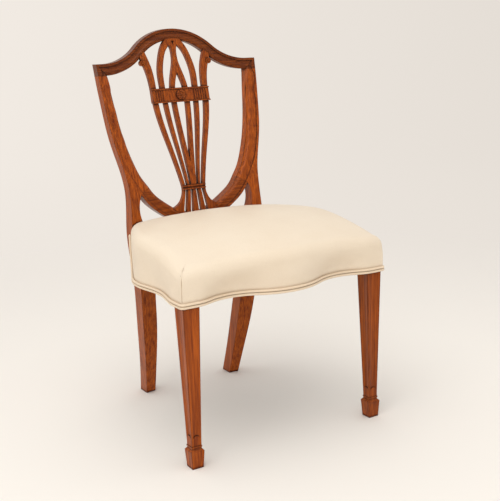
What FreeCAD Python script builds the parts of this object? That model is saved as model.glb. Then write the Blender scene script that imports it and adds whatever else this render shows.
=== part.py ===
import FreeCAD, Part
import math
import os
from FreeCAD import Vector

# Shield back dining chair, in millimetres.
# The origin is on the floor under the middle of the chair: X runs to the sitter's
# left as seen from the front (right in a front view), the front faces -Y, Z is up.

# Overall size
HEIGHT = 940.0
DEPTH = 563.0
SEAT_WIDTH = 528.0
SEAT_HEIGHT = 503.0

# The back: every piece of it is cut from one slab that leans back and is curved in plan
BACK_PLAN_RADIUS = 1250.0
CREST_THICKNESS = 22.0
# Height, front face and rear face of that slab on the centre line
SIDE_STATIONS = [
    (0.0, 242.0, 279.0),
    (160.0, 196.5, 235.0),
    (300.0, 170.0, 209.5),
    (400.0, 160.0, 200.0),
    (478.0, 165.5, 201.0),
    (560.0, 174.8, 205.0),
]
FOOT_SPLAY = -0.31
COLLAR_HEIGHT = 545.0
SLAB_HALF_ANGLE = 14.0
SLAB_OVERRUN = 12.0

# The shield: outer line of the frame and its width, from the ear to the bottom centre
EAR_HALF_WIDTH = 222.7
EAR_HEIGHT = 859.5
FRAME_WIDTH = 28.0
SHIELD_STATIONS = [
    (219.0, 793.0, 28.5),
    (215.0, 744.0, 30.0),
    (210.0, 695.0, 32.0),
    (203.0, 656.0, 33.0),
    (189.0, 605.0, 34.0),
    (166.0, 561.0, 31.0),
    (152.5, 541.0, 31.0),
    (139.0, 521.0, 31.0),
    (106.0, 491.0, 31.0),
    (60.0, 462.0, 30.0),
]
SHIELD_BOTTOM = 446.0
SHIELD_BOTTOM_WIDTH = 29.0
JOINT_STATION = 7
STILE_LEAN = Vector(-0.05, 0.0, -1.0)

# The serpentine crest: flat ears, then two arcs up to the middle
CREST_FLAT_X = 200.0
CREST_ARC_SHARE = 0.54

# Moulding worked along the frame: a quirk, a hollow and a rounded inner edge
QUIRK_OFFSET = 6.5
QUIRK_DEPTH = 1.8
HOLLOW_DEPTH = 2.5
ARRIS_DEPTH = 0.2
BEVEL_WIDTH = 9.0
BEVEL_DEPTH = 8.0
CUTTER_RISE = 4.0
CUTTER_SIDE = 6.0
MITRE_REACH = 60.0
MOULDING_SECTIONS = 30

# Rear posts below the shield: half width of the outer and inner edges by height
POST_OUTER = [
    (191.0, 605.0),
    (185.5, 572.0),
    (184.0, 545.0),
    (186.0, 490.0),
    (188.0, 450.0),
    (185.0, 400.0),
    (176.5, 340.0),
    (163.0, 200.0),
    (149.0, 80.0),
]
POST_FOOT_OUTER = 141.0
POST_FOOT_INNER = 114.0
POST_INNER = [
    (117.6, 80.0),
    (124.0, 220.0),
    (129.7, 340.0),
    (131.0, 420.0),
    (153.0, 468.0),
]

# The splat
SPLAT_RECESS = 1.0
SPLAT_THICKNESS = 11.0
BAND_BOTTOM = 757.5
BAND_TOP = 793.0
BAND_HALF_WIDTH = 80.0
BAND_PROUD = 3.0
BAND_FILLET = 3.2
BAND_FILLET_PROUD = 1.4
FLUTE_PITCH = 6.4
FLUTE_WIDTH = 3.2
FLUTE_DEPTH = 1.2
BOSS_RADIUS = 13.0
BOSS_PROUD = 2.4
BOSS_PETALS = 8
PETAL_RADIUS = 3.4
PETAL_PROUD = 1.6
COLLAR_HALF_WIDTH = 32.5
COLLAR_DEPTH = 11.0
COLLAR_PROUD = 2.0
COLLAR_GROOVE = 2.0
# Outer and inner half widths of the three ribs of each side, at the collar and at the band
RIBS = [
    ((32.0, 24.0), (78.0, 65.0)),
    ((18.0, 12.0), (49.0, 38.0)),
    ((7.0, -5.0), (24.5, 13.0)),
]
RIB_FAN = [(0.0, 0.0), (0.2, 0.18), (0.44, 0.45), (0.68, 0.74), (1.0, 1.0)]
SCROLL_CENTRE = (93.0, 857.0)
SCROLL_RADIUS = 7.5
SCROLL_PROUD = 1.5
SCROLL_EYE = 3.0
NOTCH = [(-4.5, 909.5), (4.5, 909.5), (0.0, 901.0)]
NOTCH_DEPTH = 2.5
SCRIBE_DEPTH = 6.5

# Joints of the frame
FIT = 0.15
TENON_THICKNESS = 9.0
CREST_TENON_WIDTH = 15.0
CREST_TENON_LENGTH = 13.0
SHIELD_TENON_WIDTH = 18.0
SHIELD_TENON_LENGTH = 14.0
SPLAT_TENON_THICKNESS = 6.0
SPLAT_TENON_LENGTH = 9.0
SPLAT_FOOT_TENON_WIDTH = 44.0
ARCH_TENON_WIDTH = 22.0
RIB_TENON_WIDTH = 10.0
RIB_TENON_X = 88.0
RAIL_TENON_HEIGHT = 46.0
RAIL_TENON_LENGTH = 18.0

# Seat frame
RAIL_BOTTOM = 362.0
RAIL_HEIGHT = 68.0
RAIL_THICKNESS = 24.0
LEG_AXIS_X = 241.0
LEG_AXIS_Y = -231.3
LEG_BLOCK = 39.0
LEG_NECK = 23.3
LEG_NECK_HEIGHT = 59.0
FOOT_TOP = 32.0
FOOT_BOTTOM = 26.6
FOOT_HEIGHT = 40.0
FOOT_SHOULDER = 5.0
NECK_BEAD_WIDTH = 25.2
NECK_BEAD_HEIGHT = 3.2
NECK_BEAD_RISE = 3.0
LEG_MARGIN = 3.4
LEG_HOLLOW_DEPTH = 1.9
LEG_HOLLOW_START = 67.0
REAR_RAIL_SETBACK = 2.0

# Plan of the seat: corners of the outline with the radius that rounds each one.
# The front is serpentine, and the sides bow out and run in to the rear posts.
SEAT_CORNERS = [
    (0.0, -297.8, 141.0),
    (138.0, -221.5, 120.0),
    (216.0, -255.5, 60.0),
    (SEAT_WIDTH / 2, -255.5, 0.0),
    (SEAT_WIDTH / 2, -208.0, 80.0),
    (245.0, -121.5, 200.0),
    (262.0, -11.5, 150.0),
    (181.0, 177.5, 0.0),
]
SHARP_CORNER = 3
SEAT_OUTLINE_BACK = 215.0

# Upholstery
COVER_BOTTOM = 364.0
COVER_THICKNESS = 2.0
LINING_THICKNESS = 1.0
LAYER_GAP = 0.3
SEAT_BACK_GAP = 1.5
CROWN_CENTRE_Y = -11.5
CROWN_RADIUS_ACROSS = 1736.0
CROWN_RADIUS_ALONG = 760.0
TOP_ROLL = 28.0
STUFFING_CORNER = 30.0
LINING_BOTTOM = 380.0
PIPING_DIAMETER = 5.6
PIPING_PITCH = 6.4
PIPING_GAP = 0.1
PIPING_CORNER = 9.0
PIPING_TURN_UP = 24.0
PIPING_END_HEIGHT = 452.0
WRAP_OVERLAP = 12.0

# Seat support and underside
STRAP_WIDTH = 50.0
STRAP_THICKNESS = 1.2
STRAP_INSET = 12.0
LENGTH_STRAPS = 4
LENGTH_STRAP_PITCH = 66.0
CROSS_STRAPS = 4
CROSS_STRAP_PITCH = 85.0
CROSS_STRAP_FIRST = -160.0
HESSIAN_THICKNESS = 0.8
HESSIAN_INSET = 22.0
HESSIAN_LAP = 6.0
DUST_COVER_THICKNESS = 0.8
DUST_COVER_INSET = 11.0
DUST_COVER_CLEARANCE = 1.5
TACK_INSET = 18.0
TACK_HEAD = 7.0
TACK_HEAD_HEIGHT = 0.8
TACK_SHANK = 1.6
TACK_LENGTH = 9.0
TACK_SPREAD = 14.0
UNDER_TACKS_FRONT = [-120.0, 0.0, 120.0]
UNDER_TACKS_SIDE = [-150.0, -30.0, 90.0]
UNDER_TACKS_REAR = [-100.0, 0.0, 100.0]

# Corner blocks and their screws
BLOCK_HEIGHT = 44.0
BLOCK_DROP = 12.0
FRONT_BLOCK_REACH = 82.0
FRONT_SCREW_SHARE = 0.5
REAR_BLOCK_CORNER_X = 210.0
REAR_BLOCK_REACH = 106.0
REAR_SCREW_SHARE = 0.23
SCREW_DIAMETER = 4.5
PILOT_DIAMETER = 3.5
SCREW_HEAD = 9.0
SCREW_HEAD_HEIGHT = 3.0
SCREW_LENGTH = 46.0

# Values that follow from the ones above
AXIS_Y = SIDE_STATIONS[-1][1] - BACK_PLAN_RADIUS
RAIL_TOP = RAIL_BOTTOM + RAIL_HEIGHT
LINING_INSET = COVER_THICKNESS + LAYER_GAP
RAIL_INSET = LINING_INSET + LINING_THICKNESS + LAYER_GAP
LENGTH_STRAP_BOTTOM = RAIL_TOP + LAYER_GAP
CROSS_STRAP_BOTTOM = LENGTH_STRAP_BOTTOM + STRAP_THICKNESS + LAYER_GAP
HESSIAN_BOTTOM = CROSS_STRAP_BOTTOM + STRAP_THICKNESS + LAYER_GAP
STUFFING_BOTTOM = HESSIAN_BOTTOM + HESSIAN_THICKNESS + LAYER_GAP
DUST_COVER_BOTTOM = RAIL_BOTTOM - LAYER_GAP - DUST_COVER_THICKNESS
POST_INNER_AT_RAIL = POST_INNER[3][0]
PAST = 400.0


# Small builders shared by every piece

def flat(x, z, y=0.0):
    """A point of a front view, which lies in the XZ plane."""
    return Vector(x, y, z)


def segment(a, b):
    return Part.LineSegment(a, b).toShape()


def arc(a, middle, b):
    return Part.Arc(a, middle, b).toShape()


def spline(points, start=None, end=None):
    curve = Part.BSplineCurve()
    if start is None:
        curve.interpolate(Points=points)
    else:
        curve.interpolate(Points=points, InitialTangent=start, FinalTangent=end)
    return curve


def outline(edges):
    return Part.Wire(Part.__sortEdges__(edges))


def polygon(points):
    return Part.makePolygon(points + [points[0]])


def deep(wire):
    """Solid of a front view outline, run right through the back."""
    return Part.Face(wire).extrude(Vector(0, PAST, 0))


def upright(wire, bottom, top):
    """Solid of a plan outline between two heights."""
    solid = Part.Face(wire).extrude(Vector(0, 0, top - bottom))
    solid.translate(Vector(0, 0, bottom))
    return solid


def box(x0, x1, y0, y1, z0, z1):
    return Part.makeBox(x1 - x0, y1 - y0, z1 - z0, Vector(x0, y0, z0))


def mirrored(shape):
    return shape.mirror(Vector(0, 0, 0), Vector(1, 0, 0))


def unit(vector):
    return vector * (1.0 / vector.Length)


# The curved slab of the back

def side_curve(column, shift=0.0):
    """Spline of the front (1) or rear (2) face up to the straight upper part, and its top end."""
    points = [Vector(0, station[column] + shift, station[0]) for station in SIDE_STATIONS]
    face_at_top = DEPTH / 2 - (CREST_THICKNESS if column == 1 else 0.0) + shift
    top = Vector(0, face_at_top, HEIGHT)
    upper = unit(top - points[-1])
    end = top + upper * SLAB_OVERRUN
    return spline(points, Vector(0, FOOT_SPLAY, 1), upper), points[-1], end


FRONT_CURVE, FRONT_KNEE, FRONT_END = side_curve(1)


def slab(front_shift=0.0, thickness=None):
    """The back's slab, or a thinner or thicker one set back from its front by front_shift."""
    front, front_knee, front_end = side_curve(1, front_shift)
    if thickness is None:
        rear, rear_knee, rear_end = side_curve(2)
    else:
        rear, rear_knee, rear_end = side_curve(1, front_shift + thickness)
    edges = [
        front.toShape(),
        segment(front_knee, front_end),
        segment(front_end, rear_end),
        segment(rear_end, rear_knee),
        rear.toShape(),
        segment(rear.value(rear.FirstParameter), front.value(front.FirstParameter)),
    ]
    face = Part.Face(outline(edges))
    axis = Vector(0, AXIS_Y, 0)
    face.rotate(axis, Vector(0, 0, 1), -SLAB_HALF_ANGLE)
    return face.revolve(axis, Vector(0, 0, 1), 2 * SLAB_HALF_ANGLE)


def centre_front(z):
    """Depth of the slab's front face on the centre line at height z."""
    if z >= FRONT_KNEE.z:
        share = (z - FRONT_KNEE.z) / (FRONT_END.z - FRONT_KNEE.z)
        return FRONT_KNEE.y + share * (FRONT_END.y - FRONT_KNEE.y)
    low, high = FRONT_CURVE.FirstParameter, FRONT_CURVE.LastParameter
    for _ in range(40):
        middle = (low + high) / 2
        if FRONT_CURVE.value(middle).z < z:
            low = middle
        else:
            high = middle
    return FRONT_CURVE.value(low).y


def on_front(x, z):
    """Point of the slab's front face seen at x, z in a front view."""
    radius = centre_front(z) - AXIS_Y
    return Vector(x, AXIS_Y + math.sqrt(radius ** 2 - x ** 2), z)


def front_normal(x, z):
    """Direction out of the front face, towards the sitter."""
    step = 1.0
    across = (on_front(x + step, z).y - on_front(x - step, z).y) / (2 * step)
    along = (on_front(x, z + step).y - on_front(x, z - step).y) / (2 * step)
    return unit(Vector(across, -1, along))


# Lines of the shield and the crest

def crest_arcs():
    """Centres and radii of the crest's upper line: middle arc, then the hollow arc."""
    rise = HEIGHT - EAR_HEIGHT
    total = (CREST_FLAT_X ** 2 + rise ** 2) / (2 * rise)
    crown = total * CREST_ARC_SHARE
    hollow = total - crown
    return flat(0, HEIGHT - crown), crown, flat(CREST_FLAT_X, EAR_HEIGHT + hollow), hollow


def crest_edges(inset, x_end, z_end):
    """Half of a line of the crest, inset from its upper line, ending at x_end, z_end."""
    crown_centre, crown, hollow_centre, hollow = crest_arcs()
    turn = math.atan2(CREST_FLAT_X, hollow_centre.z - crown_centre.z)
    small, large = crown - inset, hollow + inset
    meeting = crown_centre + flat(math.sin(turn), math.cos(turn)) * small
    quarter = crown_centre + flat(math.sin(turn / 2), math.cos(turn / 2)) * small
    start = flat(0, crown_centre.z + small)
    end_x = min(x_end, CREST_FLAT_X)
    end_angle = math.asin((CREST_FLAT_X - end_x) / large)
    middle_angle = (turn + end_angle) / 2
    middle = hollow_centre - flat(math.sin(middle_angle), math.cos(middle_angle)) * large
    end = hollow_centre - flat(math.sin(end_angle), math.cos(end_angle)) * large
    edges = [arc(start, quarter, meeting), arc(meeting, middle, end)]
    if x_end > CREST_FLAT_X:
        edges.append(segment(end, flat(x_end, z_end)))
    return edges


def crest_underside(x):
    """Height of the crest's lower line near its ears."""
    _, _, hollow_centre, hollow = crest_arcs()
    return hollow_centre.z - math.sqrt((hollow + FRAME_WIDTH) ** 2 - (CREST_FLAT_X - x) ** 2)


EAR = flat(EAR_HALF_WIDTH, EAR_HEIGHT)
EAR_INNER_X = EAR_HALF_WIDTH - FRAME_WIDTH
EAR_INNER = flat(EAR_INNER_X, crest_underside(EAR_INNER_X))


def chord_steps(points):
    steps = [0.0]
    for a, b in zip(points, points[1:]):
        steps.append(steps[-1] + a.distanceToPoint(b))
    return steps


def flipped(point):
    return Vector(-point.x, point.y, point.z)


def shield_lines():
    """Outer and inner line of the shield from ear to ear, with the steps of their stations."""
    half = [EAR] + [flat(x, z) for x, z, _ in SHIELD_STATIONS]
    points = half + [flat(0, SHIELD_BOTTOM)] + [flipped(point) for point in reversed(half)]
    steps = chord_steps(points)
    outer = Part.BSplineCurve()
    leave = Vector(STILE_LEAN.x, 0, -STILE_LEAN.z)
    tangents = {"InitialTangent": STILE_LEAN, "FinalTangent": leave}
    outer.interpolate(Points=points, Parameters=steps, **tangents)
    inner_half = [EAR_INNER]
    for index, (_, _, width) in enumerate(SHIELD_STATIONS, start=1):
        point, tangent = outer.getD1(steps[index])
        inner_half.append(point + unit(Vector(tangent.z, 0, -tangent.x)) * width)
    bottom = flat(0, SHIELD_BOTTOM + SHIELD_BOTTOM_WIDTH)
    inner_points = inner_half + [bottom] + [flipped(point) for point in reversed(inner_half)]
    inner = Part.BSplineCurve()
    inner_steps = chord_steps(inner_points)
    inner.interpolate(Points=inner_points, Parameters=inner_steps, **tangents)
    return outer, steps, inner, inner_steps


OUTER_LINE, OUTER_STEPS, INNER_LINE, INNER_STEPS = shield_lines()


def mould_section(outer, inner):
    """Section of the moulding cutter between an outer and an inner point of the frame."""
    width = (inner - outer).Length
    along = unit(inner - outer)

    def at(offset, rise):
        place = outer + along * offset
        surface = on_front(place.x, place.z)
        return surface + front_normal(place.x, place.z) * rise

    arris = width - BEVEL_WIDTH
    middle = (QUIRK_OFFSET + arris) / 2
    corners = [
        at(QUIRK_OFFSET, CUTTER_RISE),
        at(QUIRK_OFFSET, -QUIRK_DEPTH),
        at(arris, -ARRIS_DEPTH),
        at(width + 1.0, -BEVEL_DEPTH),
        at(width + CUTTER_SIDE, -BEVEL_DEPTH),
        at(width + CUTTER_SIDE, CUTTER_RISE),
    ]
    edges = [
        segment(corners[0], corners[1]),
        arc(corners[1], at(middle, -HOLLOW_DEPTH), corners[2]),
        arc(corners[2], at(width - BEVEL_WIDTH * 0.3, -BEVEL_DEPTH * 0.32), corners[3]),
        segment(corners[3], corners[4]),
        segment(corners[4], corners[5]),
        segment(corners[5], corners[0]),
    ]
    return Part.Wire(edges)


def side_of_mitre(side, keep_above):
    """Everything above (or below) the mitre line of one ear, in the front view."""
    along = unit(EAR - EAR_INNER)
    away = Vector(-along.z, 0, along.x)
    if (away.z < 0) == keep_above:
        away = away * -1
    near = EAR_INNER - along * MITRE_REACH
    far = EAR + along * MITRE_REACH
    wedge = deep(polygon([near, far, far + away * MITRE_REACH * 2, near + away * MITRE_REACH * 2]))
    return wedge if side > 0 else mirrored(wedge)


def frame_width(step):
    """Width of the shield's frame at a distance along its outer line."""
    widths = [FRAME_WIDTH] + [width for _, _, width in SHIELD_STATIONS]
    widths = widths + [SHIELD_BOTTOM_WIDTH] + widths[::-1]
    for index in range(len(widths) - 1):
        near, far = OUTER_STEPS[index], OUTER_STEPS[index + 1]
        if step <= far:
            share = max(0.0, (step - near) / (far - near))
            return widths[index] + share * (widths[index + 1] - widths[index])
    return widths[-1]


def shield_moulding():
    """Cutter that works the moulding down both sides and round the bottom of the shield."""
    total = OUTER_STEPS[-1]
    pace = total / MOULDING_SECTIONS
    sections = []
    for number in range(-1, MOULDING_SECTIONS + 2):
        step = min(max(number * pace, 0.0), total)
        point, direction = OUTER_LINE.getD1(step)
        direction = unit(direction)
        outer = point + direction * (number * pace - step)
        inner = outer + Vector(direction.z, 0, -direction.x) * frame_width(step)
        sections.append(mould_section(outer, inner))
    cutter = Part.makeLoft(sections, True, False)
    return cutter.cut(side_of_mitre(1, True)).cut(side_of_mitre(-1, True))


def crest_station(distance):
    """Upper and lower point of the crest at a distance along its upper line from the middle."""
    crown_centre, crown, hollow_centre, hollow = crest_arcs()
    turn = math.atan2(CREST_FLAT_X, hollow_centre.z - crown_centre.z)
    side = 1 if distance >= 0 else -1
    run = abs(distance)
    if run <= crown * turn:
        direction = flat(side * math.sin(run / crown), math.cos(run / crown))
        return crown_centre + direction * crown, crown_centre + direction * (crown - FRAME_WIDTH)
    if run <= (crown + hollow) * turn:
        angle = turn - (run - crown * turn) / hollow
        direction = flat(side * math.sin(angle), math.cos(angle))
        centre = flat(side * hollow_centre.x, hollow_centre.z)
        return centre - direction * hollow, centre - direction * (hollow + FRAME_WIDTH)
    x = side * (CREST_FLAT_X + run - (crown + hollow) * turn)
    return flat(x, EAR_HEIGHT), flat(x, EAR_HEIGHT - FRAME_WIDTH)


def crest_moulding():
    """Cutter that works the moulding along the crest, mitred into the stiles at the ears."""
    crown_centre, crown, hollow_centre, hollow = crest_arcs()
    turn = math.atan2(CREST_FLAT_X, hollow_centre.z - crown_centre.z)
    reach = (crown + hollow) * turn + EAR_HALF_WIDTH - CREST_FLAT_X + FRAME_WIDTH
    count = MOULDING_SECTIONS // 3
    stations = [crest_station(reach * number / count) for number in range(-count, count + 1)]
    cutter = Part.makeLoft([mould_section(outer, inner) for outer, inner in stations], True, False)
    return cutter.cut(side_of_mitre(1, False)).cut(side_of_mitre(-1, False))


# Tenons: each is made once for the piece that carries it and once, larger by the fit, for its mortise

def plate_tenon(centre, along, half_width, length, depth_middle, thickness, fit=0.0, sunk=1.0):
    """Tongue in the plane of the back, growing from centre in the direction along."""
    side = Vector(along.z, 0, -along.x)
    foot = centre - along * sunk
    tip = centre + along * (length + (fit and 1.0))
    reach = half_width + fit
    points = [foot - side * reach, foot + side * reach, tip + side * reach, tip - side * reach]
    half = thickness / 2 + fit
    wire = polygon([Vector(p.x, depth_middle - half, p.z) for p in points])
    return Part.Face(wire).extrude(Vector(0, 2 * half, 0))


def stile_tenon(fit=0.0):
    """From the top of the right stile up into the crest."""
    x = (EAR_HALF_WIDTH + EAR_INNER_X) / 2
    base = on_front(x, EAR_INNER.z + CREST_TENON_LENGTH / 2)
    centre = flat(x, EAR_INNER.z)
    middle = base.y + CREST_THICKNESS / 2
    half = CREST_TENON_WIDTH / 2
    return plate_tenon(centre, flat(0, 1), half, CREST_TENON_LENGTH, middle, TENON_THICKNESS, fit)


def joint_points():
    """Outer and inner ends of the joint between the right post and the lower shield rail."""
    return OUTER_LINE.value(OUTER_STEPS[JOINT_STATION]), INNER_LINE.value(INNER_STEPS[JOINT_STATION])


def shield_tenon(fit=0.0):
    """From the right end of the lower shield rail up into the post."""
    outer, inner = joint_points()
    across = unit(inner - outer)
    along = Vector(-across.z, 0, across.x)
    if along.z < 0:
        along = along * -1
    centre = (outer + inner) * 0.5
    middle = on_front(centre.x, centre.z).y + SIDE_STATIONS[-1][2] / 2 - SIDE_STATIONS[-1][1] / 2
    half = SHIELD_TENON_WIDTH / 2
    return plate_tenon(centre, along, half, SHIELD_TENON_LENGTH, middle, TENON_THICKNESS, fit)


def splat_tongue_depth(x, z):
    """Middle of a splat tongue, close to the splat's rear face."""
    return on_front(x, z).y + SPLAT_RECESS + SPLAT_THICKNESS - 1.0 - SPLAT_TENON_THICKNESS / 2


def splat_foot_tenon(fit=0.0):
    """Tongue from the splat down into the shield rail."""
    z = SHIELD_BOTTOM + SHIELD_BOTTOM_WIDTH
    depth = splat_tongue_depth(0, z)
    half = SPLAT_FOOT_TENON_WIDTH / 2
    return plate_tenon(
        flat(0, z), flat(0, -1), half, SPLAT_TENON_LENGTH, depth, SPLAT_TENON_THICKNESS, fit, 6.0
    )


def splat_head_tenons(fit=0.0):
    """Three tongues from the splat up into the crest."""
    tongues = []
    for x, width in ((-RIB_TENON_X, RIB_TENON_WIDTH), (0, ARCH_TENON_WIDTH), (RIB_TENON_X, RIB_TENON_WIDTH)):
        z = crest_line_inner(x)
        tongues.append(plate_tenon(
            flat(x, z), flat(0, 1), width / 2, SPLAT_TENON_LENGTH,
            splat_tongue_depth(x, z), SPLAT_TENON_THICKNESS, fit, 4.0
        ))
    return tongues


def crest_line_inner(x):
    """Height of the crest's lower line over the middle of the back."""
    crown_centre, crown, _, _ = crest_arcs()
    return crown_centre.z + math.sqrt((crown - FRAME_WIDTH) ** 2 - x ** 2)


# Pieces of the back

def post_blank():
    """Right rear post before its mortises: foot, leg and stile of the shield in one piece."""
    crotch, joint_inner = joint_points()
    shield_part = [flat(x, z) for x, z, _ in SHIELD_STATIONS[:4]]
    outer_points = [EAR] + shield_part + [flat(x, z) for x, z in POST_OUTER] + [flat(POST_FOOT_OUTER, 0)]
    inner_points = [flat(POST_FOOT_INNER, 0)] + [flat(x, z) for x, z in POST_INNER] + [crotch]
    edges = [
        spline(outer_points).toShape(),
        segment(flat(POST_FOOT_OUTER, 0), flat(POST_FOOT_INNER, 0)),
        spline(inner_points).toShape(),
        segment(crotch, joint_inner),
        INNER_LINE.toShape(0.0, INNER_STEPS[JOINT_STATION]),
        segment(EAR_INNER, EAR),
    ]
    post = SLAB.common(deep(outline(edges)))
    above = box(0, PAST, 0, PAST, EAR_INNER.z, HEIGHT)
    return post.cut(above).cut(SHIELD_MOULDING).fuse(stile_tenon())


def rear_post():
    """Right rear post with the mortises of the rails that meet it."""
    post = POST_BLANK.cut(shield_tenon(FIT))
    for tool in (side_rail_rear_tenon(FIT), rear_rail_tenon(FIT), screw_hole("rear", PILOT_DIAMETER)):
        post = post.cut(tool)
    return post


def shield_rail_blank():
    """U shaped rail that closes the bottom of the shield, before its mortise and tenons."""
    crotch, joint_inner = joint_points()
    last_outer, last_inner = OUTER_STEPS[-1], INNER_STEPS[-1]
    edges = [
        OUTER_LINE.toShape(OUTER_STEPS[JOINT_STATION], last_outer - OUTER_STEPS[JOINT_STATION]),
        INNER_LINE.toShape(INNER_STEPS[JOINT_STATION], last_inner - INNER_STEPS[JOINT_STATION]),
        segment(crotch, joint_inner),
        segment(flipped(crotch), flipped(joint_inner)),
    ]
    return SLAB.common(deep(outline(edges))).cut(SHIELD_MOULDING)


def lower_shield_rail():
    """The U shaped rail, tenoned up into the posts and mortised for the splat."""
    rail = SHIELD_RAIL_BLANK.multiFuse([shield_tenon(), mirrored(shield_tenon())])
    return rail.cut(splat_foot_tenon(FIT))


def crest_blank():
    """Serpentine top rail with square ears, before its mortises."""
    side = stile_side_at(EAR_INNER.z)
    upper = crest_edges(0.0, EAR_HALF_WIDTH, EAR_HEIGHT)
    lower = crest_edges(FRAME_WIDTH, EAR_INNER_X, EAR_INNER.z)
    half = upper + [segment(EAR, side), segment(side, EAR_INNER)] + lower
    edges = half + [mirrored(edge) for edge in half]
    rail = SLAB.common(deep(outline(edges)))
    return rail.cut(SHIELD_MOULDING).cut(CREST_MOULDING)


def crest_core():
    """The crest as far down as its splat is scribed to it, behind the hollow of its moulding."""
    lower = crest_edges(FRAME_WIDTH - SCRIBE_DEPTH, EAR_INNER_X, EAR_INNER.z)
    low_end = lower[-1].Vertexes[-1].Point
    half = crest_edges(0.0, EAR_HALF_WIDTH, EAR_HEIGHT) + [segment(EAR, low_end)] + lower
    return deep(outline(half + [mirrored(edge) for edge in half]))


def crest_rail():
    """The top rail, mortised for both stiles and for the splat."""
    rail = CREST_BLANK
    for tool in [stile_tenon(FIT), mirrored(stile_tenon(FIT))] + splat_head_tenons(FIT):
        rail = rail.cut(tool)
    return rail


def stile_side_at(z):
    """Point of the shield's outer line at height z, close under the ear."""
    low, high = OUTER_STEPS[0], OUTER_STEPS[1]
    for _ in range(40):
        middle = (low + high) / 2
        if OUTER_LINE.value(middle).z > z:
            low = middle
        else:
            high = middle
    return OUTER_LINE.value(low)


# The splat, from the shield rail up

def strip(left, right):
    """Front view outline between two lines given from bottom to top."""
    edges = [
        spline(left).toShape(),
        segment(left[-1], right[-1]),
        spline(right).toShape(),
        segment(right[0], left[0]),
    ]
    return deep(outline(edges))


def fanned_rib(index):
    """Rib from the collar to the band."""
    (outer_low, inner_low), (outer_high, inner_high) = RIBS[index]
    rise = BAND_BOTTOM - COLLAR_HEIGHT
    outer = [flat(outer_low + (outer_high - outer_low) * fan, COLLAR_HEIGHT + rise * t) for t, fan in RIB_FAN]
    inner = [flat(inner_low + (inner_high - inner_low) * fan, COLLAR_HEIGHT + rise * t) for t, fan in RIB_FAN]
    return strip(inner, outer)


def outer_rib_top():
    """Outermost rib above the band, which leans out to its scroll under the crest."""
    inner = [flat(65.5, BAND_TOP - 5), flat(66, 809), flat(67.5, 828)]
    inner += [flat(71, 848), flat(77, 868), flat(86, 892)]
    outer = [flat(80, BAND_TOP - 5), flat(81.5, 809), flat(84.5, 828)]
    outer += [flat(89, 845), flat(97, 868), flat(101, 884)]
    return strip(inner, outer)


def arch_rib():
    """Rib that bends over into the pointed arch under the middle of the crest."""
    outer = [flat(52.5, BAND_TOP - 5), flat(53.3, 812), flat(53, 830), flat(50, 850), flat(44.5, 870)]
    outer += [flat(37, 890), flat(27, 906), flat(10, 922)]
    inner = [flat(39.8, BAND_TOP - 5), flat(40.2, 812), flat(39.5, 830), flat(37, 846), flat(32.5, 863)]
    inner += [flat(25.5, 881), flat(17, 893), flat(0, 905)]
    edges = [
        spline(outer).toShape(),
        segment(outer[-1], flat(0, 922)),
        segment(flat(0, 922), inner[-1]),
        spline(inner).toShape(),
        segment(inner[0], outer[0]),
    ]
    return deep(outline(edges))


def stem_half():
    """Half of the two middle ribs, which join into a stem up to the arch."""
    crotch = flat(0, 831)
    inner = [flat(12.5, BAND_TOP - 5), flat(7, 813), crotch]
    outer = [flat(24.5, BAND_TOP - 5), flat(20.5, 813), flat(16, 829), flat(11, 845), flat(7.2, 861)]
    outer += [flat(6.3, 876), flat(7.5, 890), flat(12, 901)]
    edges = [
        spline(inner).toShape(),
        segment(crotch, flat(0, 912)),
        segment(flat(0, 912), outer[-1]),
        spline(outer).toShape(),
        segment(outer[0], inner[0]),
    ]
    return deep(outline(edges))


def splat_foot():
    """Flared foot of the splat below the collar, pierced by four slits."""
    edge = [flat(32, COLLAR_HEIGHT), flat(33, 530), flat(36.5, 520)]
    edge += [flat(43, 509.5), flat(52, 502), flat(66, 496)]
    hidden = [edge[-1], flat(66, 491), flat(48, 482.5), flat(25, 472), flat(0, 468.5)]
    half = [spline(edge).toShape()] + [segment(a, b) for a, b in zip(hidden, hidden[1:])]
    other = [mirrored(item) for item in half] + [segment(edge[0], flipped(edge[0]))]
    foot = deep(outline(half + other))
    slits = [
        [flat(4.3, 539), flat(10.3, 539), flat(15, 490), flat(15, 480), flat(8, 480), flat(7.5, 490)],
        [flat(19, 539), flat(25.2, 539), flat(34, 492), flat(34, 484), flat(26.5, 484), flat(26, 492)],
    ]
    for points in slits:
        cutter = deep(polygon(points))
        foot = foot.cut(cutter).cut(mirrored(cutter))
    return foot


def scroll(side):
    """Small round scroll on the outside of the outer rib, just under the crest."""
    x, z = SCROLL_CENTRE[0] * side, SCROLL_CENTRE[1]
    start = on_front(x, z) + Vector(0, SPLAT_RECESS - SCROLL_PROUD, 0)
    disc = Part.makeCylinder(SCROLL_RADIUS, SPLAT_THICKNESS, start, Vector(0, 1, 0))
    eye = Part.makeSphere(SCROLL_EYE, start)
    return disc.fuse(eye)


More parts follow.
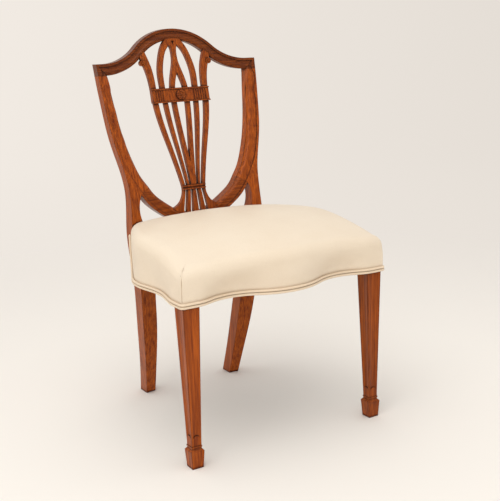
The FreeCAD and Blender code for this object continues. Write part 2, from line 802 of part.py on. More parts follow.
def band():
    """Carved band: fillets along both edges, flutes between them and a flower in the middle."""
    height = BAND_TOP - BAND_BOTTOM
    depth = SPLAT_THICKNESS - BAND_PROUD
    rect = [flat(-BAND_HALF_WIDTH, BAND_BOTTOM), flat(BAND_HALF_WIDTH, BAND_BOTTOM)]
    rect += [flat(BAND_HALF_WIDTH, BAND_TOP), flat(-BAND_HALF_WIDTH, BAND_TOP)]
    body = slab(SPLAT_RECESS - BAND_PROUD, depth + 2 * BAND_PROUD).common(deep(polygon(rect)))
    raised = slab(SPLAT_RECESS - BAND_PROUD - BAND_FILLET_PROUD, depth)
    for bottom in (BAND_BOTTOM, BAND_TOP - BAND_FILLET):
        half = BAND_HALF_WIDTH + BAND_FILLET_PROUD
        top = bottom + BAND_FILLET
        edge = [flat(-half, bottom), flat(half, bottom), flat(half, top), flat(-half, top)]
        body = body.fuse(raised.common(deep(polygon(edge))))
    count = int((BAND_HALF_WIDTH - BOSS_RADIUS - FLUTE_WIDTH) / FLUTE_PITCH)
    for side in (-1, 1):
        for number in range(count):
            x = side * (BOSS_RADIUS + FLUTE_PITCH * (number + 0.8))
            body = body.cut(flute(x, BAND_BOTTOM + BAND_FILLET, height - 2 * BAND_FILLET))
    return body.fuse(flower())


def flute(x, bottom, length):
    """Round bottomed groove up the face of the band."""
    low = on_front(x, bottom)
    high = on_front(x, bottom + length)
    direction = unit(high - low)
    radius = (FLUTE_WIDTH ** 2 / 4 + FLUTE_DEPTH ** 2) / (2 * FLUTE_DEPTH)
    lift = SPLAT_RECESS - BAND_PROUD + FLUTE_DEPTH - radius
    inset = FLUTE_WIDTH / 2
    start = low + direction * inset + Vector(0, lift, 0)
    cutter = Part.makeCylinder(radius, length - 2 * inset, start, direction)
    cutter.rotate(start, direction, 180)
    return cutter


def flower():
    """Round carved flower in the middle of the band."""
    centre = on_front(0, (BAND_BOTTOM + BAND_TOP) / 2)
    normal = front_normal(0, centre.z)
    face = centre + normal * (BAND_PROUD - SPLAT_RECESS)
    disc = Part.makeCylinder(BOSS_RADIUS, BOSS_PROUD + 2.0, face - normal * 2.0, normal)
    top = face + normal * BOSS_PROUD
    across = Vector(1, 0, 0)
    up = normal.cross(across)
    for number in range(BOSS_PETALS):
        angle = 2 * math.pi * number / BOSS_PETALS
        reach = BOSS_RADIUS - PETAL_RADIUS - 0.8
        place = top + across * (reach * math.cos(angle)) + up * (reach * math.sin(angle))
        disc = disc.fuse(Part.makeSphere(PETAL_RADIUS, place - normal * (PETAL_RADIUS - PETAL_PROUD)))
    return disc.fuse(Part.makeSphere(PETAL_RADIUS, top - normal * (PETAL_RADIUS - PETAL_PROUD - 0.6)))


def collar():
    """Narrow grooved collar where the ribs are gathered."""
    low, high = COLLAR_HEIGHT - COLLAR_DEPTH / 2, COLLAR_HEIGHT + COLLAR_DEPTH / 2
    rect = [flat(-COLLAR_HALF_WIDTH, low), flat(COLLAR_HALF_WIDTH, low)]
    rect += [flat(COLLAR_HALF_WIDTH, high), flat(-COLLAR_HALF_WIDTH, high)]
    block = slab(SPLAT_RECESS - COLLAR_PROUD, SPLAT_THICKNESS).common(deep(polygon(rect)))
    face = on_front(0, COLLAR_HEIGHT) - Vector(COLLAR_HALF_WIDTH + 5, COLLAR_PROUD - SPLAT_RECESS, 0)
    groove = Part.makeCylinder(COLLAR_GROOVE, 2 * COLLAR_HALF_WIDTH + 10, face, Vector(1, 0, 0))
    return block.cut(groove)


def splat():
    """Pierced splat: six ribs from a flared foot through a collar and a carved band to the crest."""
    board = slab(SPLAT_RECESS, SPLAT_THICKNESS)
    right = [fanned_rib(index) for index in range(len(RIBS))] + [outer_rib_top(), arch_rib(), stem_half()]
    pieces = right + [mirrored(piece) for piece in right] + [splat_foot()]
    view = pieces[0].multiFuse(pieces[1:])
    body = board.common(view)
    body = body.multiFuse([band(), collar(), scroll(1), scroll(-1)])
    notch = deep(polygon([flat(x, z) for x, z in NOTCH]))
    body = body.cut(notch.common(slab(SPLAT_RECESS - CUTTER_RISE, CUTTER_RISE + NOTCH_DEPTH)))
    scribed = body.cut(crest_core()).cut(CREST_BLANK).cut(SHIELD_RAIL_BLANK)
    return scribed.multiFuse([splat_foot_tenon()] + splat_head_tenons())


# Front legs

def square_at(size, z):
    half = size / 2
    corners = [(-half, -half), (half, -half), (half, half), (-half, half)]
    return polygon([Vector(LEG_AXIS_X + x, LEG_AXIS_Y + y, z) for x, y in corners])


def leg_hollow(direction):
    """Long tapered hollow in one face of the right front leg, stopped by a round arch."""
    across = Vector(direction.y, -direction.x, 0)

    def section(size, z):
        half = size / 2 - LEG_MARGIN
        rim = Vector(LEG_AXIS_X, LEG_AXIS_Y, z) + direction * (size / 2 + 0.01)
        left, right = rim - across * half, rim + across * half
        out = direction * CUTTER_RISE
        edges = [
            arc(left, rim - direction * LEG_HOLLOW_DEPTH, right),
            segment(right, right + out),
            segment(right + out, left + out),
            segment(left + out, left),
        ]
        return Part.Wire(edges)

    share = (LEG_HOLLOW_START - LEG_NECK_HEIGHT) / (RAIL_BOTTOM - LEG_NECK_HEIGHT)
    low = LEG_NECK + (LEG_BLOCK - LEG_NECK) * share
    ends = [section(low, LEG_HOLLOW_START), section(LEG_BLOCK, RAIL_BOTTOM)]
    stop = Vector(LEG_AXIS_X, LEG_AXIS_Y, LEG_HOLLOW_START)
    arch = Part.makeCylinder(low / 2 - LEG_MARGIN, LEG_BLOCK, stop, direction)
    return Part.makeLoft(ends, True, True).cut(arch)


def front_leg():
    """Right front leg: square taper with hollow faces, a necked spade foot and a block at the top."""
    stages = [
        (FOOT_BOTTOM, 0.0),
        (FOOT_TOP, FOOT_HEIGHT),
        (LEG_NECK, FOOT_HEIGHT + FOOT_SHOULDER),
        (LEG_NECK, LEG_NECK_HEIGHT),
        (LEG_BLOCK, RAIL_BOTTOM),
        (LEG_BLOCK, RAIL_TOP),
    ]
    lengths = []
    for low, high in zip(stages, stages[1:]):
        lengths.append(Part.makeLoft([square_at(*low), square_at(*high)], True, True))
    bead_bottom = FOOT_HEIGHT + FOOT_SHOULDER + NECK_BEAD_RISE
    bead = [square_at(NECK_BEAD_WIDTH, z) for z in (bead_bottom, bead_bottom + NECK_BEAD_HEIGHT)]
    leg = lengths[0].multiFuse(lengths[1:] + [Part.makeLoft(bead, True, True)])
    for direction in (Vector(0, -1, 0), Vector(1, 0, 0), Vector(-1, 0, 0), Vector(0, 1, 0)):
        leg = leg.cut(leg_hollow(direction))
    half = LEG_BLOCK / 2 + 1.0
    x, y = LEG_AXIS_X, LEG_AXIS_Y
    outside = box(x - half, x + half, y - half, y + half, RAIL_BOTTOM, RAIL_TOP + 1.0)
    outside = outside.cut(upright(seat_outline(RAIL_INSET), RAIL_BOTTOM, RAIL_TOP + 1.0))
    for tool in (outside, front_rail_tenon(FIT), side_rail_front_tenon(FIT)):
        leg = leg.cut(tool)
    return leg.cut(screw_hole("front", PILOT_DIAMETER))


# Plan of the seat

def inset_corners(corners, inset):
    """The same rounded outline moved inwards by inset: corner points and radii."""
    moved = []
    count = len(corners)
    for index, (x, y, radius) in enumerate(corners):
        before = corners[index - 1]
        after = corners[(index + 1) % count]
        incoming = unit(Vector(x - before[0], y - before[1], 0))
        outgoing = unit(Vector(after[0] - x, after[1] - y, 0))
        turn = incoming.cross(outgoing).z
        bisector = unit(Vector(-incoming.y - outgoing.y, incoming.x + outgoing.x, 0))
        reach = inset / math.sqrt((1 + incoming.dot(outgoing)) / 2)
        new_radius = 0.0
        if radius > 0:
            new_radius = radius - inset if turn > 0 else radius + inset
        moved.append((x + bisector.x * reach, y + bisector.y * reach, new_radius))
    return moved


def seat_corners(inset=0.0, front_corner=0.0):
    """Corners of the whole seat outline, anticlockwise from the middle of the front."""
    right = list(SEAT_CORNERS[1:])
    x, y, _ = SEAT_CORNERS[SHARP_CORNER]
    right[SHARP_CORNER - 1] = (x, y, front_corner)
    before, after = SEAT_CORNERS[-2], SEAT_CORNERS[-1]
    slope = (after[0] - before[0]) / (after[1] - before[1])
    end_x = after[0] + slope * (SEAT_OUTLINE_BACK - after[1])
    right[-1] = (end_x, SEAT_OUTLINE_BACK, 0.0)
    left = [(-x, y, radius) for x, y, radius in reversed(right)]
    return inset_corners([SEAT_CORNERS[0]] + right + left, inset)


def rounded_path(points, radii, closed=False):
    """Edges of straight runs joined by tangent arcs."""
    count = len(points)
    starts, ends, arcs = [], [], []
    for index in range(count):
        point = points[index]
        radius = radii[index]
        if radius <= 0 or (not closed and index in (0, count - 1)):
            starts.append(point)
            ends.append(point)
            arcs.append(None)
            continue
        back = unit(points[index - 1] - point)
        on = unit(points[(index + 1) % count] - point)
        half_angle = math.acos(max(-1.0, min(1.0, back.dot(on)))) / 2
        reach = radius / math.tan(half_angle)
        inward = unit(back + on)
        middle = point + inward * (radius / math.sin(half_angle) - radius)
        starts.append(point + back * reach)
        ends.append(point + on * reach)
        arcs.append(middle)
    edges = []
    for index in range(count):
        if arcs[index] is not None:
            edges.append(arc(starts[index], arcs[index], ends[index]))
        following = (index + 1) % count
        if closed or index < count - 1:
            edges.append(segment(ends[index], starts[following]))
    return edges


def seat_outline(inset=0.0, front_corner=0.0):
    corners = seat_corners(inset, front_corner)
    points = [Vector(x, y, 0) for x, y, _ in corners]
    return Part.Wire(rounded_path(points, [radius for _, _, radius in corners], closed=True))


# Upholstery

def crown(inset):
    """Solid under the doubly curved top of the seat."""
    top = SEAT_HEIGHT - inset
    along = CROWN_RADIUS_ALONG - inset
    reach = DEPTH / 2 + 60.0
    floor = RAIL_BOTTOM - 60.0
    centre_z = top - along

    def height(y):
        return centre_z + math.sqrt(along ** 2 - (y - CROWN_CENTRE_Y) ** 2)

    front, rear = CROWN_CENTRE_Y - reach, CROWN_CENTRE_Y + reach
    edges = [
        arc(Vector(0, front, height(front)), Vector(0, CROWN_CENTRE_Y, top), Vector(0, rear, height(rear))),
        segment(Vector(0, rear, height(rear)), Vector(0, rear, floor)),
        segment(Vector(0, rear, floor), Vector(0, front, floor)),
        segment(Vector(0, front, floor), Vector(0, front, height(front))),
    ]
    face = Part.Face(Part.Wire(edges))
    axis = Vector(0, 0, SEAT_HEIGHT - CROWN_RADIUS_ACROSS)
    spread = math.degrees((SEAT_WIDTH / 2 + 40.0) / CROWN_RADIUS_ACROSS)
    face.rotate(axis, Vector(0, 1, 0), -spread)
    return face.revolve(axis, Vector(0, 1, 0), 2 * spread)


def seat_block(inset, bottom, front_corner):
    """Cushion shape inset from the cover's outside: upright walls, crowned top, rolled edge."""
    walls = upright(seat_outline(inset, front_corner), bottom, SEAT_HEIGHT + TOP_ROLL)
    block = walls.common(crown(inset))
    rear = SEAT_OUTLINE_BACK - inset
    top_edges = []
    for edge in block.Edges:
        bounds = edge.BoundBox
        if bounds.ZMin > bottom + 1.0 and bounds.YMin < rear - 1.0:
            top_edges.append(edge)
    return block.makeFillet(TOP_ROLL - inset, top_edges)


def behind_seat(inset):
    """Room kept free in front of the back."""
    return slab(-(SEAT_BACK_GAP + inset), PAST / 2)


def seat_form(inset, bottom, front_corner):
    """Cushion shape that stops just in front of the back."""
    return seat_block(inset, bottom, front_corner).cut(behind_seat(inset))


def wrap(inset, bottom):
    """Where the covering passes over the rear seat rail between the posts."""
    half = POST_INNER_AT_RAIL - SEAT_BACK_GAP - inset
    top = STUFFING_BOTTOM + RAIL_INSET - LAYER_GAP - inset
    rear = rear_rail_back() + RAIL_INSET - inset
    front = rear_rail_front() - WRAP_OVERLAP
    return box(-half, half, front, rear, bottom, top)


def skin(outer, inset, thickness, bottom):
    """What is left of a covering when its inside has been taken out."""
    within = inset + thickness
    level = RAIL_TOP + LAYER_GAP
    lower = upright(seat_outline(within), bottom - 5.0, level)
    inside = seat_form(within, level, STUFFING_CORNER).fuse(lower)
    whole = outer.fuse(wrap(inset, bottom))
    return whole.cut(inside).cut(wrap(within, bottom - 5.0))


def seat_cover():
    """Leather over the cushion, the seat rails and the rear rail, with sharp front corners."""
    return skin(seat_form(0.0, COVER_BOTTOM, 0.0), 0.0, COVER_THICKNESS, COVER_BOTTOM)


def seat_lining():
    """Calico lining under the leather, rounded at the front corners above the rails."""
    level = RAIL_TOP - 1.0
    sides = upright(seat_outline(LINING_INSET), LINING_BOTTOM, level)
    top = seat_form(LINING_INSET, level, STUFFING_CORNER)
    outer = top.fuse(sides.cut(behind_seat(LINING_INSET)))
    return skin(outer, LINING_INSET, LINING_THICKNESS, LINING_BOTTOM)


def seat_stuffing():
    return seat_form(RAIL_INSET, STUFFING_BOTTOM, STUFFING_CORNER)


def cord_path(inset, z, step_back):
    """Line of one cord round the seat, turned up in front of the rear posts."""
    corners = seat_corners(inset)
    run = [(x, y, r if r > 0 else PIPING_CORNER) for x, y, r in corners[1:len(SEAT_CORNERS) - 1]]
    before, after = corners[len(SEAT_CORNERS) - 2], corners[len(SEAT_CORNERS) - 1]
    stop_y = on_front(SEAT_CORNERS[-1][0], z).y - SEAT_BACK_GAP - PIPING_DIAMETER / 2 - step_back
    slope = (after[0] - before[0]) / (after[1] - before[1])
    stop_x = before[0] + slope * (stop_y - before[1])
    points = [Vector(x, y, z) for x, y, _ in run]
    points += [Vector(stop_x, stop_y, z), Vector(stop_x, stop_y, PIPING_END_HEIGHT)]
    radii = [r for _, _, r in run] + [PIPING_TURN_UP - step_back, 0.0]
    front = Vector(corners[0][0], corners[0][1], z)
    whole = [flipped(point) for point in reversed(points)] + [front] + points
    return whole, radii[::-1] + [corners[0][2]] + radii


def seat_piping():
    """Two cords side by side along the lower edge."""
    radius = PIPING_DIAMETER / 2
    cords = []
    for row in range(2):
        step = row * PIPING_PITCH
        points, radii = cord_path(-(radius + PIPING_GAP), COVER_BOTTOM + radius + step, step)
        path = Part.Wire(rounded_path(points, radii))
        ring = Part.Wire(Part.makeCircle(radius, points[0], Vector(0, 0, 1)))
        cords.append(path.makePipeShell([ring], True, False))
    return Part.makeCompound(cords)


# Seat frame

def rear_rail_front():
    return centre_front(RAIL_BOTTOM + RAIL_HEIGHT / 2) - REAR_RAIL_SETBACK


def rear_rail_back():
    return rear_rail_front() + RAIL_THICKNESS


def rails_within(low, high):
    """Everything inside the inner faces of the front and side rails."""
    return upright(seat_outline(RAIL_INSET + RAIL_THICKNESS), low, high)


def ring_of_rails():
    """Band of wood that follows the seat's outline, before it is divided into rails."""
    outer = upright(seat_outline(RAIL_INSET), RAIL_BOTTOM, RAIL_TOP)
    return outer.cut(rails_within(RAIL_BOTTOM - 1.0, RAIL_TOP + 1.0))


def tenon_heights():
    spare = (RAIL_HEIGHT - RAIL_TENON_HEIGHT) / 2
    return RAIL_BOTTOM + spare, RAIL_TOP - spare


def front_rail_tenon(fit=0.0):
    """From the right end of the front rail into the leg."""
    low, high = tenon_heights()
    shoulder = LEG_AXIS_X - LEG_BLOCK / 2
    middle = LEG_AXIS_Y - LEG_BLOCK / 2 + RAIL_THICKNESS / 2
    half = TENON_THICKNESS / 2 + fit
    tip = shoulder + RAIL_TENON_LENGTH + (fit and 1.0)
    return box(shoulder - 2.0, tip, middle - half, middle + half, low - fit, high + fit)


def side_rail_front_tenon(fit=0.0):
    """From the front end of the right side rail into the leg."""
    low, high = tenon_heights()
    shoulder = LEG_AXIS_Y + LEG_BLOCK / 2
    middle = LEG_AXIS_X + LEG_BLOCK / 2 - RAIL_THICKNESS / 2
    half = TENON_THICKNESS / 2 + fit
    tip = shoulder - RAIL_TENON_LENGTH - (fit and 1.0)
    return box(middle - half, middle + half, tip, shoulder + 2.0, low - fit, high + fit)


def side_rail_rear_tenon(fit=0.0):
    """From the rear end of the right side rail into the post, in line with the rail."""
    low, high = tenon_heights()
    before, after = SEAT_CORNERS[-2], SEAT_CORNERS[-1]
    along = unit(Vector(after[0] - before[0], after[1] - before[1], 0))
    side = Vector(along.y, -along.x, 0)
    face = on_front(after[0], RAIL_BOTTOM + RAIL_HEIGHT / 2)
    outer = Vector(before[0], before[1], 0) + along * ((face.y - before[1]) / along.y)
    centre = outer - side * (RAIL_INSET + RAIL_THICKNESS / 2)
    half = TENON_THICKNESS / 2 + fit
    root = centre - along * RAIL_TENON_LENGTH / 2
    tip = centre + along * (RAIL_TENON_LENGTH + (fit and 1.0))
    points = [root - side * half, root + side * half, tip + side * half, tip - side * half]
    return upright(polygon(points), low - fit, high + fit)


def rear_rail_tenon(fit=0.0):
    """From the right end of the rear rail into the post."""
    low, high = tenon_heights()
    shoulder = POST_INNER_AT_RAIL - 3.0
    middle = rear_rail_back() - TENON_THICKNESS / 2 - 3.0
    half = TENON_THICKNESS / 2 + fit
    tip = shoulder + RAIL_TENON_LENGTH + (fit and 1.0)
    return box(shoulder, tip, middle - half, middle + half, low - fit, high + fit)


def front_seat_rail():
    """Serpentine front rail between the legs."""
    limit = LEG_AXIS_X - LEG_BLOCK / 2
    between = box(-limit, limit, -PAST, LEG_AXIS_Y + LEG_BLOCK, 0, HEIGHT)
    rail = ring_of_rails().common(between)
    rail = rail.multiFuse([front_rail_tenon(), mirrored(front_rail_tenon())])
    return rail.cut(TACK_HOLES)


def side_seat_rail():
    """Right side rail, bowed outwards, from the front leg to the rear post."""
    shoulder = LEG_AXIS_Y + LEG_BLOCK / 2
    rail = ring_of_rails().common(box(0, PAST, shoulder, PAST, 0, HEIGHT))
    front_rail_part = box(0, LEG_AXIS_X - LEG_BLOCK, -PAST, 0, 0, HEIGHT)
    rail = rail.cut(front_rail_part).cut(slab(0.0, PAST / 2))
    rail = rail.multiFuse([side_rail_front_tenon(), side_rail_rear_tenon()])
    return rail.cut(TACK_HOLES)


def rear_rail_blank():
    """Straight rear rail, scribed to both posts."""
    half = POST_INNER_AT_RAIL + RAIL_THICKNESS / 2
    rail = box(-half, half, rear_rail_front(), rear_rail_back(), RAIL_BOTTOM, RAIL_TOP)
    return rail.cut(POST_BLANK).cut(mirrored(POST_BLANK))


def rear_seat_rail():
    """Straight rear rail between the posts."""
    rail = REAR_RAIL_BLANK.multiFuse([rear_rail_tenon(), mirrored(rear_rail_tenon())])
    return rail.cut(TACK_HOLES)


# Corner blocks

def block_corner(place):
    """Corner of the triangle a glue block is cut from, the way it grows, its reach and screw place."""
    if place == "front":
        return LEG_AXIS_X, LEG_AXIS_Y, 1, FRONT_BLOCK_REACH, FRONT_SCREW_SHARE
    return REAR_BLOCK_CORNER_X, rear_rail_front(), -1, REAR_BLOCK_REACH, REAR_SCREW_SHARE


def corner_block(place):
    """Right glue block behind the front leg or in front of the rear post."""
    low = RAIL_TOP - BLOCK_DROP - BLOCK_HEIGHT
    high = RAIL_TOP - BLOCK_DROP
    x, y, towards, reach, _ = block_corner(place)
    triangle = polygon([Vector(x, y, 0), Vector(x - reach, y, 0), Vector(x, y + towards * reach, 0)])
    block = upright(triangle, low, high).common(rails_within(low, high))
    leg_edge = LEG_BLOCK / 2
    leg_space = box(LEG_AXIS_X - leg_edge, PAST, -PAST, LEG_AXIS_Y + leg_edge, low, high)
    for neighbour in (leg_space, POST_BLANK, screw_hole(place, SCREW_DIAMETER)):
        block = block.cut(neighbour)
    return block


def screw_line(place):
    """Head centre and direction of the screw that holds a glue block."""
    x, y, towards, reach, share = block_corner(place)
    z = RAIL_TOP - BLOCK_DROP - BLOCK_HEIGHT / 2
    start = Vector(x - reach * (1 - share), y + towards * reach * share, z)
    return start, unit(Vector(1, -towards, 0))


def screw_hole(place, diameter):
    start, direction = screw_line(place)
    mouth = start - direction
    hole = Part.makeCylinder(diameter / 2 + FIT, SCREW_LENGTH + 2.0, mouth, direction)
    sink = Part.makeCylinder(SCREW_HEAD / 2 + FIT, SCREW_HEAD_HEIGHT + 1.0, mouth, direction)
    return hole.fuse(sink)


def screw(place):
    start, direction = screw_line(place)
    shank = Part.makeCylinder(PILOT_DIAMETER / 2, SCREW_LENGTH, start, direction)
    head = Part.makeCylinder(SCREW_HEAD / 2, SCREW_HEAD_HEIGHT, start, direction)
    return head.fuse(shank)


def corner_block_screws():
    right = [screw("front"), screw("rear")]
    return Part.makeCompound(right + [mirrored(item) for item in right])


# Seat support and underside

def on_outline(inset, start, end):
    """Point where the line from start to end crosses the seat's outline inset by inset."""
    return seat_outline(inset).distToShape(segment(start, end))[1][0][0]


def front_point(inset, x):
    return on_outline(inset, Vector(x, -PAST, 0), Vector(x, 0, 0))


def side_point(inset, y):
    return on_outline(inset, Vector(0, y, 0), Vector(PAST, y, 0))


def length_strap_places():
    middle = (LENGTH_STRAPS - 1) / 2
    return [(number - middle) * LENGTH_STRAP_PITCH for number in range(LENGTH_STRAPS)]


def cross_strap_places():
    return [CROSS_STRAP_FIRST + number * CROSS_STRAP_PITCH for number in range(CROSS_STRAPS)]


def webbing_tack_points():
    """Places of the tacks at the ends of the straps, with the height of each strap's top."""
    points = []
    rear_y = (rear_rail_front() + rear_rail_back()) / 2
    for x in length_strap_places():
        for offset in (-TACK_SPREAD, TACK_SPREAD):
            points.append((front_point(TACK_INSET, x + offset), LENGTH_STRAP_BOTTOM))
            points.append((Vector(x + offset, rear_y, 0), LENGTH_STRAP_BOTTOM))
    for y in cross_strap_places():
        for offset in (-TACK_SPREAD, TACK_SPREAD):
            place = side_point(TACK_INSET, y + offset)
            points.append((place, CROSS_STRAP_BOTTOM))
            points.append((flipped(place), CROSS_STRAP_BOTTOM))
    return [Vector(p.x, p.y, bottom + STRAP_THICKNESS + LAYER_GAP) for p, bottom in points]


def dust_cover_tack_points():
    """Places of the tacks that hold the dust cover up to the rails."""
    points = [front_point(TACK_INSET, x) for x in UNDER_TACKS_FRONT]
    for y in UNDER_TACKS_SIDE:
        place = side_point(TACK_INSET, y)
        points += [place, flipped(place)]
    rear_y = (rear_rail_front() + rear_rail_back()) / 2
    points += [Vector(x, rear_y, 0) for x in UNDER_TACKS_REAR]
    return [Vector(p.x, p.y, DUST_COVER_BOTTOM - LAYER_GAP) for p in points]


def tack(point, up, fit=0.0):
    """Flat headed tack; up is 1 where the head looks up. With a fit it is the hole for the shank."""
    length = TACK_LENGTH + (fit and 1.0)
    shank = Part.makeCylinder(TACK_SHANK / 2 + fit, length, point, Vector(0, 0, -up))
    if fit:
        return shank
    head = Part.makeCylinder(TACK_HEAD / 2, TACK_HEAD_HEIGHT, point, Vector(0, 0, up))
    return head.fuse(shank)


def tack_holes():
    above = [tack(point, 1, FIT) for point in webbing_tack_points()]
    below = [tack(point, -1, FIT) for point in dust_cover_tack_points()]
    return Part.makeCompound(above + below)


def webbing(straps, bottom):
    """Straps trimmed to the seat's outline and pierced by their tacks."""
    top = bottom + STRAP_THICKNESS
    plan = upright(seat_outline(STRAP_INSET), bottom, top)
    return Part.makeCompound([strap.common(plan).cut(TACK_HOLES) for strap in straps])


def webbing_lengthwise():
    """Straps from the front rail to the rear rail."""
    bottom, half = LENGTH_STRAP_BOTTOM, STRAP_WIDTH / 2
    rear = rear_rail_back() - STRAP_THICKNESS
    top = bottom + STRAP_THICKNESS
    straps = [box(x - half, x + half, -PAST, rear, bottom, top) for x in length_strap_places()]
    return webbing(straps, bottom)


def webbing_crosswise():
    """Straps from side rail to side rail, over the lengthwise ones."""
    bottom, half = CROSS_STRAP_BOTTOM, STRAP_WIDTH / 2
    top = bottom + STRAP_THICKNESS
    straps = [box(-PAST, PAST, y - half, y + half, bottom, top) for y in cross_strap_places()]
    return webbing(straps, bottom)


def cloth_to_rear_rail(inset, rear, bottom, thickness):
    """Flat cloth inside the outline, clear of the posts and carried on to the rear rail."""
    main = upright(seat_outline(inset), bottom, bottom + thickness).cut(slab(-inset, PAST / 2))
    half = POST_INNER_AT_RAIL - DUST_COVER_CLEARANCE - SEAT_BACK_GAP
    return main.fuse(box(-half, half, rear_rail_front() - PAST / 8, rear, bottom, bottom + thickness))


def hessian():
    """Loosely woven cloth between the webbing and the stuffing."""
    rear = rear_rail_front() + HESSIAN_LAP
    return cloth_to_rear_rail(HESSIAN_INSET, rear, HESSIAN_BOTTOM, HESSIAN_THICKNESS)


def dust_cover():
    """Black cloth under the seat, notched round the front legs."""
    rear = rear_rail_back() - HESSIAN_LAP
    cloth = cloth_to_rear_rail(DUST_COVER_INSET, rear, DUST_COVER_BOTTOM, DUST_COVER_THICKNESS)
    edge = LEG_BLOCK / 2 + DUST_COVER_CLEARANCE
    notch = box(LEG_AXIS_X - edge, PAST, -PAST, LEG_AXIS_Y + edge, 0, HEIGHT)
    for tool in (notch, mirrored(notch), TACK_HOLES):
        cloth = cloth.cut(tool)
    return cloth


def webbing_tacks():
    return Part.makeCompound([tack(point, 1) for point in webbing_tack_points()])


def dust_cover_tacks():
    return Part.makeCompound([tack(point, -1) for point in dust_cover_tack_points()])


# Making and writing every piece

def export(name, shape):
    shape.exportStep(os.path.join("parts", name + ".step"))
    print(name, "solids", len(shape.Solids), "valid", shape.isValid(), "volume", round(shape.Volume))


def export_pair(name, right):
    export(name + "_right", right)
    export(name + "_left", mirrored(right))


SLAB = slab()
SHIELD_MOULDING = shield_moulding()
CREST_MOULDING = crest_moulding()
CREST_BLANK = crest_blank()
SHIELD_RAIL_BLANK = shield_rail_blank()
POST_BLANK = post_blank()
REAR_RAIL_BLANK = rear_rail_blank()
TACK_HOLES = tack_holes()


def make_all():
    os.makedirs("parts", exist_ok=True)
    export_pair("rear_post", rear_post())
    export("crest_rail", crest_rail())
    export("lower_shield_rail", lower_shield_rail())
    export("splat", splat())
    export_pair("front_leg", front_leg())
    export("front_seat_rail", front_seat_rail())
    export_pair("side_seat_rail", side_seat_rail())
    export("rear_seat_rail", rear_seat_rail())
    export_pair("corner_block_front", corner_block("front"))
    export_pair("corner_block_rear", corner_block("rear"))
    export("corner_block_screws", corner_block_screws())
    export("webbing_lengthwise", webbing_lengthwise())
    export("webbing_crosswise", webbing_crosswise())
    export("webbing_tacks", webbing_tacks())
    export("hessian", hessian())
    export("seat_stuffing", seat_stuffing())
    export("seat_lining", seat_lining())
    export("seat_cover", seat_cover())
    export("seat_piping", seat_piping())
    export("dust_cover", dust_cover())
    export("dust_cover_tacks", dust_cover_tacks())


if __name__ == "__main__":
    make_all()
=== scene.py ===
import math

import bpy
import numpy as np
from bpy.props import FloatProperty, FloatVectorProperty, PointerProperty
from mathutils import Matrix, Vector, noise
from mathutils.kdtree import KDTree


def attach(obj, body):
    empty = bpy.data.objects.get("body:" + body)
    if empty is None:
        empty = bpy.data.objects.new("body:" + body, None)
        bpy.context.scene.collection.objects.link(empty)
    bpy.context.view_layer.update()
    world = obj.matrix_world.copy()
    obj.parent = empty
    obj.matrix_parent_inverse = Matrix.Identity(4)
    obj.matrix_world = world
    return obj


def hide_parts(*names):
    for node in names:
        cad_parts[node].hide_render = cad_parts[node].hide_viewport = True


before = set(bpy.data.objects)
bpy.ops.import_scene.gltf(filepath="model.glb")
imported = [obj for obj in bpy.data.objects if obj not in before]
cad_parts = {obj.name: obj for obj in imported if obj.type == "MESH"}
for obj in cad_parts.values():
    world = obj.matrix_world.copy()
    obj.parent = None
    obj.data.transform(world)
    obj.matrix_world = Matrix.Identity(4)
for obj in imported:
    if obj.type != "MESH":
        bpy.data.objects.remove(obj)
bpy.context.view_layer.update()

# Shield back dining chair: finishes of the wooden frame, the upholstered seat and the studio
# Lengths are worked out in millimetres, as in the joiner's drawing, and made in metres

bl_info = {
    "name": "Shield Back Dining Chair",
    "version": (1, 0, 0),
    "blender": (4, 5, 0),
    "location": "3D View > Sidebar > Chair",
    "description": "Builds the upholstery, finishes and studio of a shield back dining chair",
    "category": "Add Mesh",
}

MM = 0.001

# Plan of the seat: corners of its right half, from the middle of the front, each with the
# radius that rounds it
SEAT_CORNERS = [
    (0.0, -297.8, 141.0),
    (138.0, -221.5, 120.0),
    (216.0, -255.5, 60.0),
    (264.0, -255.5, 3.0),
    (264.0, -208.0, 80.0),
    (245.0, -121.5, 200.0),
    (262.0, -11.5, 150.0),
    (181.0, 177.5, 0.0),
]
FRONT_NOSE = 0
FRONT_HOLLOW = 1
FRONT_SHOULDER = 2
FRONT_CORNER = 3
SIDE_HOLLOW = 5
SIDE_RUN_ON = 60.0
ARC_STEPS = 16

# Radius of the front corners at the piping and at the rails' top, and the height over which it
# changes
SHARP_CORNER_RADIUS = 3.0
SOFT_CORNER_RADIUS = 8.0
CORNER_SOFTENING = 22.0

# Where the stuffing moves the corners of the plan as it fills out the hollows of the front and
# sides: how far over and back, and the radius that each is left with. The filling starts at a
# height above the piping, and the hollows open out only near its end.
FILLED_OUT = {
    FRONT_NOSE: (0.0, 14.8, 300.0),
    FRONT_HOLLOW: (0.0, -44.0, 500.0),
    FRONT_SHOULDER: (0.0, -6.5, 60.0),
    SIDE_HOLLOW: (14.0, 0.0, 900.0),
}
FILL_START = 372.0
OPENING = 6

# Front face of the back on the centre line at three heights, and its radius in plan
BACK_FACE = [(300.0, 170.0), (400.0, 160.0), (478.0, 165.5)]
BACK_PLAN_RADIUS = 1250.0
BACK_GAP = 2.0

# Crowned top of the seat
SEAT_HEIGHT = 503.0
CROWN_CENTRE_Y = -11.5
CROWN_RADIUS_ACROSS = 1736.0
CROWN_RADIUS_ALONG = 760.0
TOP_ROLL = 28.0
REAR_ROLL = 9.0

